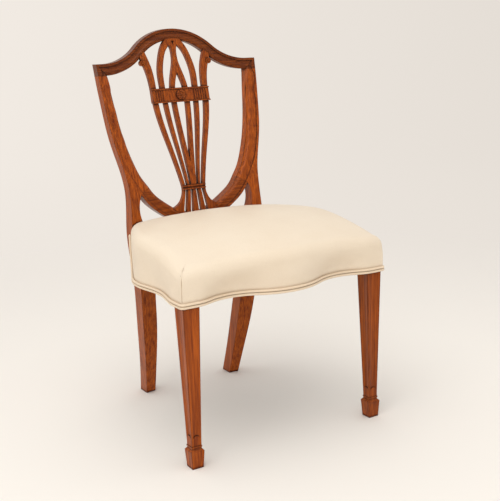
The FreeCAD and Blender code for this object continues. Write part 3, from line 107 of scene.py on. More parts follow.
# Heights of the seat's layers
COVER_BOTTOM = 364.0
COVER_THICKNESS = 2.0
LINING_INSET = 2.3
LINING_THICKNESS = 0.9
LINING_BOTTOM = 380.0
STUFFING_INSET = 3.6
STUFFING_BOTTOM = 434.4
RAIL_TOP = 430.0
RAIL_BOTTOM = 362.0
REAR_RAIL_FRONT = 158.3
REAR_RAIL_BACK = 182.3
WRAP_HALF_WIDTH = 129.5
WRAP_TOP = 437.7
WRAP_ROLL = 8.0
REAR_CORNER_WIDTH = 6.0

# Shares of the rear wall at which it has risen, has turned over the rail and ends its level top
WRAP_RISEN = 0.45
WRAP_TURNED = 0.58
WRAP_LEVEL = 0.72

# How many points each stretch of a ring round the seat has
FRONT_POINTS = 44
CORNER_POINTS = 12
SIDE_POINTS = 44
POST_POINTS = 8
RETURN_POINTS = 4
REAR_POINTS = 18
WALL_RINGS = 28
ROLL_RINGS = 14
CROWN_RINGS = 24
CLOTH_RINGS = 8
WALL_SAMPLES = 90

# Depth of the point that the rings of the seat's top shrink to
RINGS_CENTRE_Y = -46.0

# Webbing. A strap rises where it passes over another, between two shares of its width from the
# middle of the crossing.
STRAP_COUNT = 4
STRAP_WIDTH = 50.0
STRAP_THICKNESS = 1.0
STRAP_INSET = 12.0
STRAP_REAR_INSET = 1.5
STRAP_BEND = (0.56, 0.8)
STRAP_STEPS = 90
STRAP_COLUMNS = 8
LENGTH_STRAP_PITCH = 66.0
CROSS_STRAP_PITCH = 85.0
CROSS_STRAP_FIRST = -160.0
LENGTH_STRAP_LEVEL = 430.9
CROSS_STRAP_LEVEL = 432.35

# Cloths over the webbing and under the seat
CLOTH_THICKNESS = 0.7
CLOTH_REAR_HALF_WIDTH = 128.0
HESSIAN_LEVEL = 433.7
HESSIAN_INSET = 22.0
HESSIAN_CORNER = 6.0
HESSIAN_LAP = 6.0
DUST_COVER_LEVEL = 361.3
DUST_COVER_INSET = 11.0
DUST_COVER_REAR_INSET = 6.0
SAG_STARTS = 0.12
SAG_ENDS = 0.9
LEG_AXIS = (241.0, -231.3)
LEG_BLOCK = 39.0
LEG_CLEARANCE = 1.5


# Small helpers shared by every piece

def smooth(value, low, high):
    """0 below low, 1 above high and an even curve between."""
    share = min(1.0, max(0.0, (value - low) / (high - low)))
    return share * share * (3 - 2 * share)


def lerp(a, b, share):
    return a + (b - a) * share


def new_piece(name, points, faces, material):
    """A smooth mesh object from points in millimetres."""
    mesh = bpy.data.meshes.new(name)
    mesh.from_pydata([Vector(p) * MM for p in points], [], faces)
    mesh.polygons.foreach_set("use_smooth", [True] * len(mesh.polygons))
    mesh.materials.append(material)
    mesh.update()
    piece = bpy.data.objects.new(name, mesh)
    bpy.context.scene.collection.objects.link(piece)
    return piece


def thicken(piece, thickness, offset):
    """Gives a sheet its thickness; offset -1 keeps its outer side where it is."""
    skin = piece.modifiers.new("Thickness", "SOLIDIFY")
    skin.thickness = thickness * MM
    skin.offset = offset
    skin.use_rim = True
    skin.use_even_offset = False


def settle(piece, slot, *nodes):
    """Lets a piece ride with the chair and stand for the CAD nodes it replaces."""
    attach(piece, "root")
    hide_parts(*nodes)


# Lines of the seat in plan

def moved_in(corners, inset):
    """A rounded line moved inwards by inset; its two end corners are dropped."""
    moved = []
    for before, corner, after in zip(corners, corners[1:], corners[2:]):
        incoming = (Vector(corner[:2]) - Vector(before[:2])).normalized()
        outgoing = (Vector(after[:2]) - Vector(corner[:2])).normalized()
        turn = incoming.x * outgoing.y - incoming.y * outgoing.x
        side = Vector((-incoming.y - outgoing.y, incoming.x + outgoing.x)).normalized()
        reach = inset / math.sqrt((1 + incoming.dot(outgoing)) / 2)
        radius = corner[2] - inset if turn > 0 else corner[2] + inset
        moved.append((Vector(corner[:2]) + side * reach, radius if corner[2] > 0 else 0.0))
    return moved


def corner_arc(before, point, after, radius):
    """Points along the arc that rounds one corner."""
    back = (before - point).normalized()
    on = (after - point).normalized()
    half = math.acos(max(-1.0, min(1.0, back.dot(on)))) / 2
    centre = point + (back + on).normalized() * (radius / math.sin(half))
    first = point + back * (radius / math.tan(half)) - centre
    last = point + on * (radius / math.tan(half)) - centre
    turn = math.pi - 2 * half
    points = []
    for step in range(ARC_STEPS + 1):
        share = step / ARC_STEPS
        near = math.sin((1 - share) * turn) / math.sin(turn)
        far = math.sin(share * turn) / math.sin(turn)
        points.append(centre + first * near + last * far)
    return points


def plan_runs(inset, front_radius, fill=0.0):
    """Right half of the outline moved in by inset: front run, front corner, side run.

    fill is how far the stuffing has filled out the hollow of the front, from 0 to 1."""
    corners = list(SEAT_CORNERS)
    x, y, _ = corners[FRONT_CORNER]
    corners[FRONT_CORNER] = (x, y, front_radius + inset)
    for index, (over, back, full_radius) in FILLED_OUT.items():
        x, y, radius = corners[index]
        opened = lerp(radius, full_radius, fill ** OPENING)
        corners[index] = (x + over * fill, y + back * fill, opened)
    first, before_last, last = corners[1], corners[-2], corners[-1]
    beyond = (2 * last[0] - before_last[0], 2 * last[1] - before_last[1], 0.0)
    corners = [(-first[0], first[1], first[2])] + corners + [beyond]
    moved = moved_in(corners, inset)
    mirrored_first = Vector((-moved[1][0].x, moved[1][0].y))
    places = [mirrored_first] + [point for point, _ in moved]
    runs = [[], [], []]
    for index, (point, radius) in enumerate(moved):
        run = 0 if index < FRONT_CORNER else 1 if index == FRONT_CORNER else 2
        if radius <= 0:
            runs[run].append(point)
            continue
        arc = corner_arc(places[index], point, moved[index + 1][0], radius)
        runs[run] += arc[ARC_STEPS // 2:] if index == 0 else arc
    runs[0].append(runs[1][0])
    runs[2].insert(0, runs[1][-1])
    end = (moved[-1][0] - moved[-2][0]).normalized()
    runs[2].append(moved[-1][0] + end * SIDE_RUN_ON)
    return runs


def resampled(points, count):
    """count + 1 points evenly spaced along a line."""
    line = np.array([tuple(p) for p in points])
    steps = np.concatenate([[0.0], np.cumsum(np.linalg.norm(np.diff(line, axis=0), axis=1))])
    wanted = np.linspace(0.0, steps[-1], count + 1)
    columns = [np.interp(wanted, steps, line[:, axis]) for axis in range(line.shape[1])]
    return [Vector(place) for place in zip(*columns)]


def back_face(x, z):
    """Depth of the back's front face at x, z."""
    (z0, y0), (z1, y1), (z2, y2) = BACK_FACE
    centre = y0 * (z - z1) * (z - z2) / ((z0 - z1) * (z0 - z2))
    centre += y1 * (z - z0) * (z - z2) / ((z1 - z0) * (z1 - z2))
    centre += y2 * (z - z0) * (z - z1) / ((z2 - z0) * (z2 - z1))
    return centre - x * x / (2 * BACK_PLAN_RADIUS)


def cut_at_back(run, level, gap):
    """The side run as far back as the posts allow."""
    kept = [run[0]]
    for a, b in zip(run, run[1:]):
        over_a = a.y - back_face(a.x, level) + gap
        over_b = b.y - back_face(b.x, level) + gap
        if over_b >= 0:
            kept.append(a.lerp(b, over_a / (over_a - over_b)))
            return kept
        kept.append(b)
    raise RuntimeError("the side of the seat doesn't reach the back")


def half_ring(inset, front_radius, level, wrap=None, fill=0.0):
    """Right half of a ring round the seat at one inset, from the front to the back.

    wrap is the half width and rear edge of the part that passes over the rear rail."""
    front, corner, side = plan_runs(inset, front_radius, fill)
    gap = BACK_GAP + inset
    side = cut_at_back(side, level, gap)
    half_width = (WRAP_HALF_WIDTH if wrap is None else wrap[0]) - (inset if wrap is None else 0.0)
    post = []
    for step in range(1, POST_POINTS + 1):
        x = lerp(side[-1].x, half_width, step / POST_POINTS)
        post.append(Vector((x, back_face(x, level) - gap)))
    edge = post[-1]
    returns, rear = [], []
    for step in range(1, RETURN_POINTS + 1):
        share = step / RETURN_POINTS
        x = half_width - (0.0 if wrap else REAR_CORNER_WIDTH * share)
        y = lerp(edge.y, wrap[1], share) if wrap else back_face(x, level) - gap
        returns.append(Vector((x, y)))
    for step in range(1, REAR_POINTS + 1):
        x = lerp(returns[-1].x, 0.0, step / REAR_POINTS)
        rear.append(Vector((x, wrap[1] if wrap else back_face(x, level) - gap)))
    points = resampled(front, FRONT_POINTS)
    points += resampled(corner, CORNER_POINTS)[1:]
    points += resampled(side, SIDE_POINTS)[1:]
    return points + post + returns + rear


SIDE_END = FRONT_POINTS + CORNER_POINTS + SIDE_POINTS
SEAM_COLUMN = FRONT_POINTS + CORNER_POINTS // 2


def whole_ring(half):
    """A ring from its right half: the left half is its mirror image."""
    left = [Vector((-p[0], *p[1:])) for p in reversed(half[1:-1])]
    return half + left


# Heights of the seat

def crown_height(x, y, inset):
    """Height of the doubly curved top, moved in by inset."""
    along = CROWN_RADIUS_ALONG - inset
    ridge = SEAT_HEIGHT - inset - along + math.sqrt(along ** 2 - (y - CROWN_CENTRE_Y) ** 2)
    axis = SEAT_HEIGHT - CROWN_RADIUS_ACROSS
    return axis + math.sqrt((ridge - axis) ** 2 - x * x)


class SeatTop:
    """Top of one layer of the seat: its crown, rolled down to the walls."""

    def __init__(self, inset):
        self.inset = inset
        self.roll = TOP_ROLL - inset
        runs = plan_runs(inset, max(SOFT_CORNER_RADIUS - inset, SHARP_CORNER_RADIUS), 1.0)
        self.wall = [p for run in runs for p in resampled(run, WALL_SAMPLES)]
        self.finder = KDTree(len(self.wall))
        for index, place in enumerate(self.wall):
            self.finder.insert((place.x, place.y, 0.0), index)
        self.finder.balance()

    def nearest(self, x, y):
        """Distance to the wall and the nearest point of it."""
        _, index, _ = self.finder.find((abs(x), y, 0.0))
        first = self.wall[max(index - 1, 0)]
        last = self.wall[min(index + 1, len(self.wall) - 1)]
        along = (last - first).normalized()
        inward = Vector((-along.y, along.x))
        offset = Vector((abs(x), y)) - self.wall[index]
        foot = self.wall[index] + along * offset.dot(along)
        return offset.dot(inward), foot, inward

    def height(self, x, y, depth=None):
        """Height of the top at x, y; depth replaces the distance to the wall."""
        found, foot, inward = self.nearest(x, y)
        depth = max(0.0, found) if depth is None else depth
        surface = crown_height(x, y, self.inset)
        if depth >= self.roll:
            return surface - self.rear_drop(x, y)
        centre = foot + inward * self.roll
        step = 1.0
        ahead = centre + inward * step
        middle = crown_height(centre.x, centre.y, self.inset + self.roll)
        slope = (crown_height(ahead.x, ahead.y, self.inset + self.roll) - middle) / step
        end = self.roll * (1 - slope / math.sqrt(1 + slope * slope))
        if depth < end:
            surface = middle + math.sqrt(self.roll ** 2 - (self.roll - depth) ** 2)
        return surface - self.rear_drop(x, y)

    def rear_drop(self, x, y):
        """How far the rear edge of the top rolls down just in front of the back."""
        depth = back_face(x, SEAT_HEIGHT - TOP_ROLL) - BACK_GAP - self.inset - y
        if depth >= REAR_ROLL:
            return 0.0
        depth = max(0.0, depth)
        return REAR_ROLL - math.sqrt(REAR_ROLL ** 2 - (REAR_ROLL - depth) ** 2)


def wrap_profile(share, inset, bottom, wall_top):
    """Reach behind the back's front face (0 to 1) and height, up over the rear rail."""
    top = WRAP_TOP - inset
    roll_reach = WRAP_ROLL / (REAR_RAIL_BACK - REAR_RAIL_FRONT)
    if share < WRAP_RISEN:
        return 1.0, lerp(bottom, top - WRAP_ROLL, share / WRAP_RISEN)
    if share < WRAP_TURNED:
        turn = (share - WRAP_RISEN) / (WRAP_TURNED - WRAP_RISEN) * math.pi / 2
        return 1.0 - roll_reach * (1 - math.cos(turn)), top - WRAP_ROLL * (1 - math.sin(turn))
    if share < WRAP_LEVEL:
        passed = (share - WRAP_TURNED) / (WRAP_LEVEL - WRAP_TURNED)
        return (1.0 - roll_reach) * (1 - passed), top
    return 0.0, lerp(top, wall_top, (share - WRAP_LEVEL) / (1 - WRAP_LEVEL))


def wall_ring(top, bottom, share, wrapped):
    """One ring of the upright walls; share runs from 0 at the bottom edge to 1 at the roll."""
    inset = top.inset
    here = lerp(bottom, RAIL_TOP, share)
    soft = smooth(here, RAIL_TOP - CORNER_SOFTENING, RAIL_TOP)
    radius = lerp(SHARP_CORNER_RADIUS, max(SOFT_CORNER_RADIUS - inset, SHARP_CORNER_RADIUS), soft)
    fill = smooth(here, FILL_START, RAIL_TOP)
    back_level = lerp(bottom, SEAT_HEIGHT - TOP_ROLL, share)
    plain = half_ring(inset, radius, back_level, None, fill)
    reach, rear_z = 0.0, None
    if wrapped:
        reach, rear_z = wrap_profile(share, inset, bottom, top.height(0.0, plain[-1].y))
    if reach > 0:
        rear_y = lerp(plain[-1].y, REAR_RAIL_BACK + STUFFING_INSET - inset, reach)
        behind = half_ring(inset, radius, back_level, (WRAP_HALF_WIDTH - inset, rear_y), fill)
        plain = plain[:SIDE_END + 1] + behind[SIDE_END + 1:]
    ring = []
    for index, point in enumerate(plain):
        x, y = point
        high = top.height(x, y, 0.0) if index <= SIDE_END else top.height(x, y)
        z = lerp(bottom, high, share)
        if wrapped and index > SIDE_END + POST_POINTS:
            blend = smooth(index, SIDE_END + POST_POINTS, SIDE_END + POST_POINTS + RETURN_POINTS)
            z = lerp(z, rear_z, blend)
        ring.append(Vector((x, y, z)))
    return ring


def seat_rings(inset, bottom, wrapped):
    """Rings of one layer of the seat, from its bottom edge to the middle of its crown."""
    top = SeatTop(inset)
    rings = [wall_ring(top, bottom, k / WALL_RINGS, wrapped) for k in range(WALL_RINGS + 1)]
    level = SEAT_HEIGHT - TOP_ROLL
    for k in range(1, ROLL_RINGS + 1):
        depth = top.roll * (1 - math.cos(k / ROLL_RINGS * math.pi / 2))
        radius = max(SOFT_CORNER_RADIUS - inset - depth, SHARP_CORNER_RADIUS / 2)
        plan = half_ring(inset + depth, radius, level, None, 1.0)
        rings.append([Vector((x, y, top.height(x, y))) for x, y in plan])
    outer = rings[-1]
    for k in range(1, CROWN_RINGS + 1):
        share = 1 - k / (CROWN_RINGS + 1)
        ring = []
        for point in outer:
            x, y = point.x * share, lerp(RINGS_CENTRE_Y, point.y, share)
            ring.append(Vector((x, y, top.height(x, y))))
        rings.append(ring)
    return [whole_ring(ring) for ring in rings]


def ring_faces(ring_count, size):
    """Quads between rings that follow one another."""
    faces = []
    for ring in range(ring_count - 1):
        low, high = ring * size, (ring + 1) * size
        for index in range(size):
            following = (index + 1) % size
            faces.append((low + index, low + following, high + following, high + index))
    return faces


def ring_piece(name, rings, material, closed_below):
    """Mesh over rings that is closed in the middle of the last one, and below if asked."""
    size = len(rings[0])
    points = [point for ring in rings for point in ring]
    faces = ring_faces(len(rings), size)
    last = (len(rings) - 1) * size
    points.append(sum(rings[-1], Vector((0, 0, 0))) / size)
    middle = len(points) - 1
    for index in range(size):
        faces.append((last + index, last + (index + 1) % size, middle))
    if closed_below:
        faces.append(tuple(reversed(range(size))))
    return new_piece(name, points, faces, material)


# Shader groups shared by the materials

def node_group(name, inputs, outputs):
    """An empty shader group; inputs and outputs are (name, kind, default)."""
    group = bpy.data.node_groups.new(name, "ShaderNodeTree")
    for label, kind, default in inputs:
        socket = group.interface.new_socket(label, in_out="INPUT", socket_type="NodeSocket" + kind)
        if default is not None:
            socket.default_value = default
    for label, kind in outputs:
        group.interface.new_socket(label, in_out="OUTPUT", socket_type="NodeSocket" + kind)
    entry = group.nodes.new("NodeGroupInput")
    leave = group.nodes.new("NodeGroupOutput")
    return group, entry, leave


def add(tree, kind, values=None, **settings):
    """A new node with settings on the node and values on its input sockets."""
    node = tree.nodes.new("ShaderNode" + kind)
    for key, value in settings.items():
        setattr(node, key, value)
    for key, value in (values or {}).items():
        node.inputs[key].default_value = value
    return node


def join(tree, source, target):
    tree.links.new(source, target)


def maths(tree, operation, a, b=None, clamp=False):
    """A Math node; a and b are sockets or numbers."""
    node = add(tree, "Math", operation=operation, use_clamp=clamp)
    for index, value in enumerate([a, b]):
        if value is None:
            continue
        if isinstance(value, (int, float)):
            node.inputs[index].default_value = value
        else:
            join(tree, value, node.inputs[index])
    return node.outputs[0]


def times(tree, a, b):
    return maths(tree, "MULTIPLY", a, b)


def spread(tree, value, low, high, to_low=0.0, to_high=1.0):
    """A value moved from one range to another, held within it."""
    limits = {"From Min": low, "From Max": high, "To Min": to_low, "To Max": to_high}
    node = add(tree, "MapRange", limits)
    node.clamp = True
    join(tree, value, node.inputs["Value"])
    return node.outputs["Result"]


def noise_value(tree, vector, scale, detail, roughness=0.5, distortion=0.0):
    values = {"Scale": scale, "Detail": detail, "Roughness": roughness, "Distortion": distortion}
    node = add(tree, "TexNoise", values)
    join(tree, vector, node.inputs["Vector"])
    return node.outputs["Fac"]


def blend_colour(tree, factor, a, b):
    """A colour between a and b, which are sockets or colours."""
    node = add(tree, "Mix", data_type="RGBA")
    join(tree, factor, node.inputs["Factor"])
    for socket, value in ((node.inputs[6], a), (node.inputs[7], b)):
        if hasattr(value, "is_linked"):
            join(tree, value, socket)
        else:
            socket.default_value = (*value[:3], 1.0)
    return node.outputs[2]


def wood_grain_group():
    """Long streaks, pores and broad figure of a sawn board."""
    group, entry, leave = node_group(
        "wood_grain",
        [("Vector", "Vector", None)],
        [("Streaks", "Float"), ("Pores", "Float"), ("Figure", "Float")],
    )
    vector = entry.outputs["Vector"]
    streaks = noise_value(group, vector, 240.0, 7.0, 0.62, 0.08)
    fine = noise_value(group, vector, 900.0, 3.0, 0.6)
    pores = noise_value(group, vector, 1500.0, 2.0, 0.5)
    figure = noise_value(group, vector, 26.0, 3.0, 0.5, 0.2)
    mixed = maths(group, "ADD", times(group, streaks, 0.72), times(group, fine, 0.28))
    join(group, spread(group, mixed, 0.36, 0.66), leave.inputs["Streaks"])
    join(group, spread(group, pores, 0.60, 0.72), leave.inputs["Pores"])
    join(group, spread(group, figure, 0.35, 0.68), leave.inputs["Figure"])
    return group


def edge_group():
    """Softened edges: a rounded normal, and a mask of the edges that hands and cloths rub, where
    the mahogany also gets a painted highlight, and at a wider radius painted shade.
    """
    group, entry, leave = node_group(
        "edge_mask",
        [("Radius", "Float", 0.001)],
        [("Edge", "Float"), ("Normal", "Vector")],
    )
    bevel = add(group, "Bevel", samples=4)
    join(group, entry.outputs["Radius"], bevel.inputs["Radius"])
    geometry = add(group, "NewGeometry")
    dot = add(group, "VectorMath", operation="DOT_PRODUCT")
    join(group, bevel.outputs["Normal"], dot.inputs[0])
    join(group, geometry.outputs["Normal"], dot.inputs[1])
    away = maths(group, "SUBTRACT", 1.0, dot.outputs["Value"])
    join(group, spread(group, away, 0.01, 0.16), leave.inputs["Edge"])
    join(group, bevel.outputs["Normal"], leave.inputs["Normal"])
    return group


def corner_shade_group():
    """Mask of inner corners from their occlusion, where shade is painted into the colour and the
    polish is duller.
    """
    group, entry, leave = node_group(
        "occluded_corners",
        [("Reach", "Float", 0.008)],
        [("Crevice", "Float")],
    )
    hidden = add(group, "AmbientOcclusion", samples=4)
    join(group, entry.outputs["Reach"], hidden.inputs["Distance"])
    join(group, spread(group, hidden.outputs["AO"], 0.62, 0.97, 1.0, 0.0), leave.inputs["Crevice"])
    return group


def weave_group():
    """Plain weave over and under, with threads of uneven thickness."""
    group, entry, leave = node_group(
        "plain_weave",
        [("Vector", "Vector", None), ("Threads", "Float", 1.0)],
        [("Height", "Float"), ("Tone", "Float")],
    )
    wobble = add(group, "TexNoise", {"Scale": 60.0, "Detail": 2.0})
    join(group, entry.outputs["Vector"], wobble.inputs["Vector"])
    shift = add(group, "VectorMath", {"Scale": 0.0012}, operation="SCALE")
    join(group, wobble.outputs["Color"], shift.inputs[0])
    moved = add(group, "VectorMath", operation="ADD")
    join(group, entry.outputs["Vector"], moved.inputs[0])
    join(group, shift.outputs[0], moved.inputs[1])
    scaled = add(group, "VectorMath", operation="SCALE")
    join(group, moved.outputs[0], scaled.inputs[0])
    join(group, entry.outputs["Threads"], scaled.inputs["Scale"])
    parts = add(group, "SeparateXYZ")
    join(group, scaled.outputs[0], parts.inputs[0])
    across_wave = maths(group, "SINE", parts.outputs["X"])
    along_wave = maths(group, "SINE", parts.outputs["Y"])
    across = maths(group, "ABSOLUTE", across_wave)
    along = maths(group, "ABSOLUTE", along_wave)
    over = maths(group, "GREATER_THAN", times(group, across_wave, along_wave), 0.0)
    picked = add(group, "Mix", data_type="FLOAT")
    join(group, over, picked.inputs["Factor"])
    join(group, across, picked.inputs[2])
    join(group, along, picked.inputs[3])
    join(group, picked.outputs[0], leave.inputs["Height"])
    tone = noise_value(group, entry.outputs["Vector"], 180.0, 4.0, 0.7)
    join(group, spread(group, tone, 0.3, 0.7), leave.inputs["Tone"])
    return group


def leather_group():
    """Pebbled skin of finished leather, with faint creases and tone."""
    group, entry, leave = node_group(
        "leather_skin",
        [("Vector", "Vector", None), ("Pebbles", "Float", 620.0)],
        [("Height", "Float"), ("Tone", "Float"), ("Pits", "Float")],
    )
    cells = add(group, "TexVoronoi", feature="DISTANCE_TO_EDGE")
    join(group, entry.outputs["Vector"], cells.inputs["Vector"])
    join(group, entry.outputs["Pebbles"], cells.inputs["Scale"])
    pebble = spread(group, cells.outputs["Distance"], 0.0, 0.35)
    creases = noise_value(group, entry.outputs["Vector"], 45.0, 6.0, 0.6, 0.5)
    fine = noise_value(group, entry.outputs["Vector"], 1800.0, 2.0)
    height = maths(group, "ADD", times(group, pebble, 0.55), times(group, fine, 0.25))
    height = maths(group, "ADD", height, times(group, creases, 0.5))
    join(group, height, leave.inputs["Height"])
    tone = noise_value(group, entry.outputs["Vector"], 9.0, 5.0, 0.55)
    join(group, spread(group, tone, 0.3, 0.7), leave.inputs["Tone"])
    join(group, spread(group, cells.outputs["Distance"], 0.0, 0.12, 1.0, 0.0), leave.inputs["Pits"])
    return group


GROUPS = {}


def shared(name):
    """A shader group, made the first time that a material asks for it."""
    makers = {
        "grain": wood_grain_group,
        "edges": edge_group,
        "occluded_corners": corner_shade_group,
        "weave": weave_group,
        "leather": leather_group,
    }
    if name not in GROUPS:
        GROUPS[name] = makers[name]()
    return GROUPS[name]


def place_group(tree, name, vector=None, **values):
    """Outputs of a shared group that is placed in a material."""
    node = tree.nodes.new("ShaderNodeGroup")
    node.node_tree = shared(name)
    for key, value in values.items():
        node.inputs[key].default_value = value
    if vector is not None:
        join(tree, vector, node.inputs["Vector"])
    return node.outputs


def empty_material(name):
    """A material without shaders, and its node tree."""
    material = bpy.data.materials.new(name)
    material.use_nodes = True
    material.node_tree.nodes.clear()
    return material, material.node_tree


def new_material(name, **values):
    """A material with one Principled shader, its whole surface values set on its sockets."""
    material, tree = empty_material(name)
    inputs = {key.replace("_", " "): value for key, value in values.items()}
    shader = add(tree, "BsdfPrincipled", inputs)
    output = add(tree, "OutputMaterial")
    join(tree, shader.outputs[0], output.inputs["Surface"])
    return material, tree, shader


def feed(tree, shader, **sources):
    """Links sources to the shader's sockets, whose names have underscores for spaces here."""
    for key, source in sources.items():
        join(tree, source, shader.inputs[key.replace("_", " ")])


def object_coordinates(tree, scale=(1, 1, 1), turn=(0, 0, 0), move=(0, 0, 0)):
    """Place on the chair in metres, stretched and turned for the run of a grain."""
    source = add(tree, "TexCoord")
    mapping = add(tree, "Mapping", {"Scale": scale, "Rotation": turn, "Location": move})
    join(tree, source.outputs["Object"], mapping.inputs["Vector"])
    return mapping.outputs["Vector"]


def bumped(tree, shader, height, strength, distance, normal=None):
    """Raises the surface by a height in its shading, over a rounded normal where one is given."""
    bump = add(tree, "Bump", {"Strength": strength, "Distance": distance})
    join(tree, height, bump.inputs["Height"])
    if normal is not None:
        join(tree, normal, bump.inputs["Normal"])
    join(tree, bump.outputs["Normal"], shader.inputs["Normal"])


# Materials

def polished_wood(name, settings, scale, move, tone):
    """French polished mahogany with its grain along the piece; tone makes it lighter or darker."""
    light = [value * tone for value in settings.light_colour]
    dark = [value * tone for value in settings.dark_colour]
    figured = [value * tone for value in settings.figure_colour]
    material, tree, shader = new_material(
        name, Specular_IOR_Level=0.12, Coat_Roughness=0.14, Coat_IOR=1.45
    )
    grain = place_group(tree, "grain", object_coordinates(tree, scale, (0, 0, 0), move))
    edges = place_group(tree, "edges", Radius=settings.edge_radius)
    # Painted shade: a wider edge mask that darkens the wood beside edges and quirks
    lines = place_group(tree, "edges", Radius=settings.shade_line_radius)
    # Occlusion of inner corners: painted shade in the colour, duller polish in the roughness and
    # coat
    corner_shade = place_group(tree, "occluded_corners", Reach=settings.corner_shade_reach)["Crevice"]
    colour = blend_colour(tree, grain["Streaks"], dark, light)
    layers = [
        (times(tree, grain["Figure"], 0.25), figured),
        (times(tree, grain["Pores"], 0.45), settings.pore_colour),
        # Painted shade beside edges and quirks
        (times(tree, lines["Edge"], settings.shade_line_depth), settings.painted_shade_colour),
        # Lighter edges: polish rubbed thin, and a painted highlight
        (times(tree, edges["Edge"], 0.12), settings.worn_and_highlit_edge_colour),
        # Painted shade in inner corners, from their occlusion
        (times(tree, corner_shade, settings.corner_shade_depth), settings.painted_shade_colour),
    ]
    for mask, layer in layers:
        colour = blend_colour(tree, mask, colour, layer)
    rough = spread(tree, grain["Figure"], 0.0, 1.0, 0.30, 0.42)
    rough = maths(tree, "ADD", rough, times(tree, corner_shade, 0.25))
    coat = spread(tree, corner_shade, 0.0, 1.0, 0.16, 0.0)
    feed(tree, shader, Base_Color=colour, Roughness=rough, Coat_Weight=coat)
    height = maths(tree, "SUBTRACT", times(tree, grain["Streaks"], 0.25), grain["Pores"])
    bumped(tree, shader, height, 0.18, 0.0003, edges["Normal"])
    return material


def plain_wood(name, settings, scale, move):
    """Planed beech of the hidden frame, unpolished."""
    material, tree, shader = new_material(name, Specular_IOR_Level=0.35)
    grain = place_group(tree, "grain", object_coordinates(tree, scale, (0, 0, 0), move))
    edges = place_group(tree, "edges", Radius=settings.edge_radius)
    corner_shade = place_group(tree, "occluded_corners", Reach=settings.corner_shade_reach)["Crevice"]
    colour = blend_colour(tree, grain["Streaks"], settings.beech_dark, settings.beech_light)
    # Real flecks in the pores, and painted shade in inner corners, both in the fleck colour
    for mask in (grain["Pores"], corner_shade):
        colour = blend_colour(tree, times(tree, mask, 0.5), colour, settings.beech_fleck_and_shade)
    rough = spread(tree, grain["Streaks"], 0.0, 1.0, 0.62, 0.5)
    feed(tree, shader, Base_Color=colour, Roughness=rough)
    bumped(tree, shader, grain["Streaks"], 0.25, 0.0003, edges["Normal"])
    return material


def worn_steel(name, colour, rough_low, rough_high):
    """Steel of tacks and screws, with scratches and a little tarnish."""
    material, tree, shader = new_material(name, Metallic=1.0)
    vector = object_coordinates(tree)
    scratches = noise_value(tree, object_coordinates(tree, (4.0, 1.0, 1.0)), 900.0, 3.0, 0.7)
    tarnish = spread(tree, noise_value(tree, vector, 260.0, 4.0, 0.6), 0.4, 0.75)
    edges = place_group(tree, "edges", Radius=0.0003)
    darker = tuple(value * 0.45 for value in colour[:3])
    rough = spread(tree, scratches, 0.3, 0.7, rough_low, rough_high)
    feed(tree, shader, Base_Color=blend_colour(tree, tarnish, colour, darker), Roughness=rough)
    bumped(tree, shader, scratches, 0.15, 0.0001, edges["Normal"])
    return material


def leather(name, settings, light, shade):
    """Cream leather: fine pebble grain, faint creases and a soft sheen."""
    material, tree, shader = new_material(
        name, Specular_IOR_Level=0.38, Coat_Roughness=0.45, Coat_IOR=1.45
    )
    skin = place_group(tree, "leather", object_coordinates(tree), Pebbles=settings.pebble_scale)
    corner_shade = place_group(tree, "occluded_corners", Reach=0.006)["Crevice"]
    seam = add(tree, "Attribute", attribute_name="seam").outputs["Fac"]
    # Painted shade in inner corners, from their occlusion, with the dark line of the corner seams
    seam_and_corner_shade = maths(tree, "ADD", times(tree, corner_shade, 0.32), times(tree, seam, 0.8), True)
    colour = blend_colour(tree, skin["Tone"], light, shade)
    for mask in (times(tree, skin["Pits"], 0.18), seam_and_corner_shade):
        colour = blend_colour(tree, mask, colour, settings.pit_seam_and_shade_colour)
    rough = spread(tree, skin["Height"], 0.2, 1.0, 0.58, 0.46)
    coat = spread(tree, skin["Tone"], 0.0, 1.0, 0.06, 0.14)
    feed(tree, shader, Base_Color=colour, Roughness=rough, Coat_Weight=coat)
    bumped(tree, shader, skin["Height"], 0.22, 0.0003)
    return material


def woven(name, light, shade, threads, relief):
    """Cloth with a plain weave of the given thread count per metre."""
    material, tree, shader = new_material(name, Roughness=0.9, Specular_IOR_Level=0.2)
    weave = place_group(tree, "weave", object_coordinates(tree), Threads=threads)
    colour = blend_colour(tree, weave["Tone"], light, shade)
    gaps = spread(tree, weave["Height"], 0.0, 0.5, 0.65, 0.0)
    deep = tuple(value * 0.35 for value in shade[:3])
    feed(tree, shader, Base_Color=blend_colour(tree, gaps, colour, deep))
    bumped(tree, shader, weave["Height"], relief, 0.0005)
    return material


def striped_webbing(name, settings):
    """Jute webbing: slanting threads with a dark stripe along each edge."""
    material, tree, shader = new_material(name, Roughness=0.88, Specular_IOR_Level=0.2)
    slanted = object_coordinates(tree, (1, 1, 1), (0, 0, math.radians(45)))
    weave = place_group(tree, "weave", slanted, Threads=2600.0)
    edge = add(tree, "Attribute", attribute_name="strap_edge").outputs["Fac"]
    colour = blend_colour(tree, weave["Tone"], settings.webbing_light, settings.webbing_dark)
    stripe = spread(tree, edge, 0.72, 0.78, 0.0, 0.75)
    gaps = spread(tree, weave["Height"], 0.0, 0.4, 0.5, 0.0)
    for mask in (stripe, gaps):
        colour = blend_colour(tree, mask, colour, settings.webbing_stripe)
    feed(tree, shader, Base_Color=colour)
    bumped(tree, shader, weave["Height"], 0.5, 0.0006)
    return material


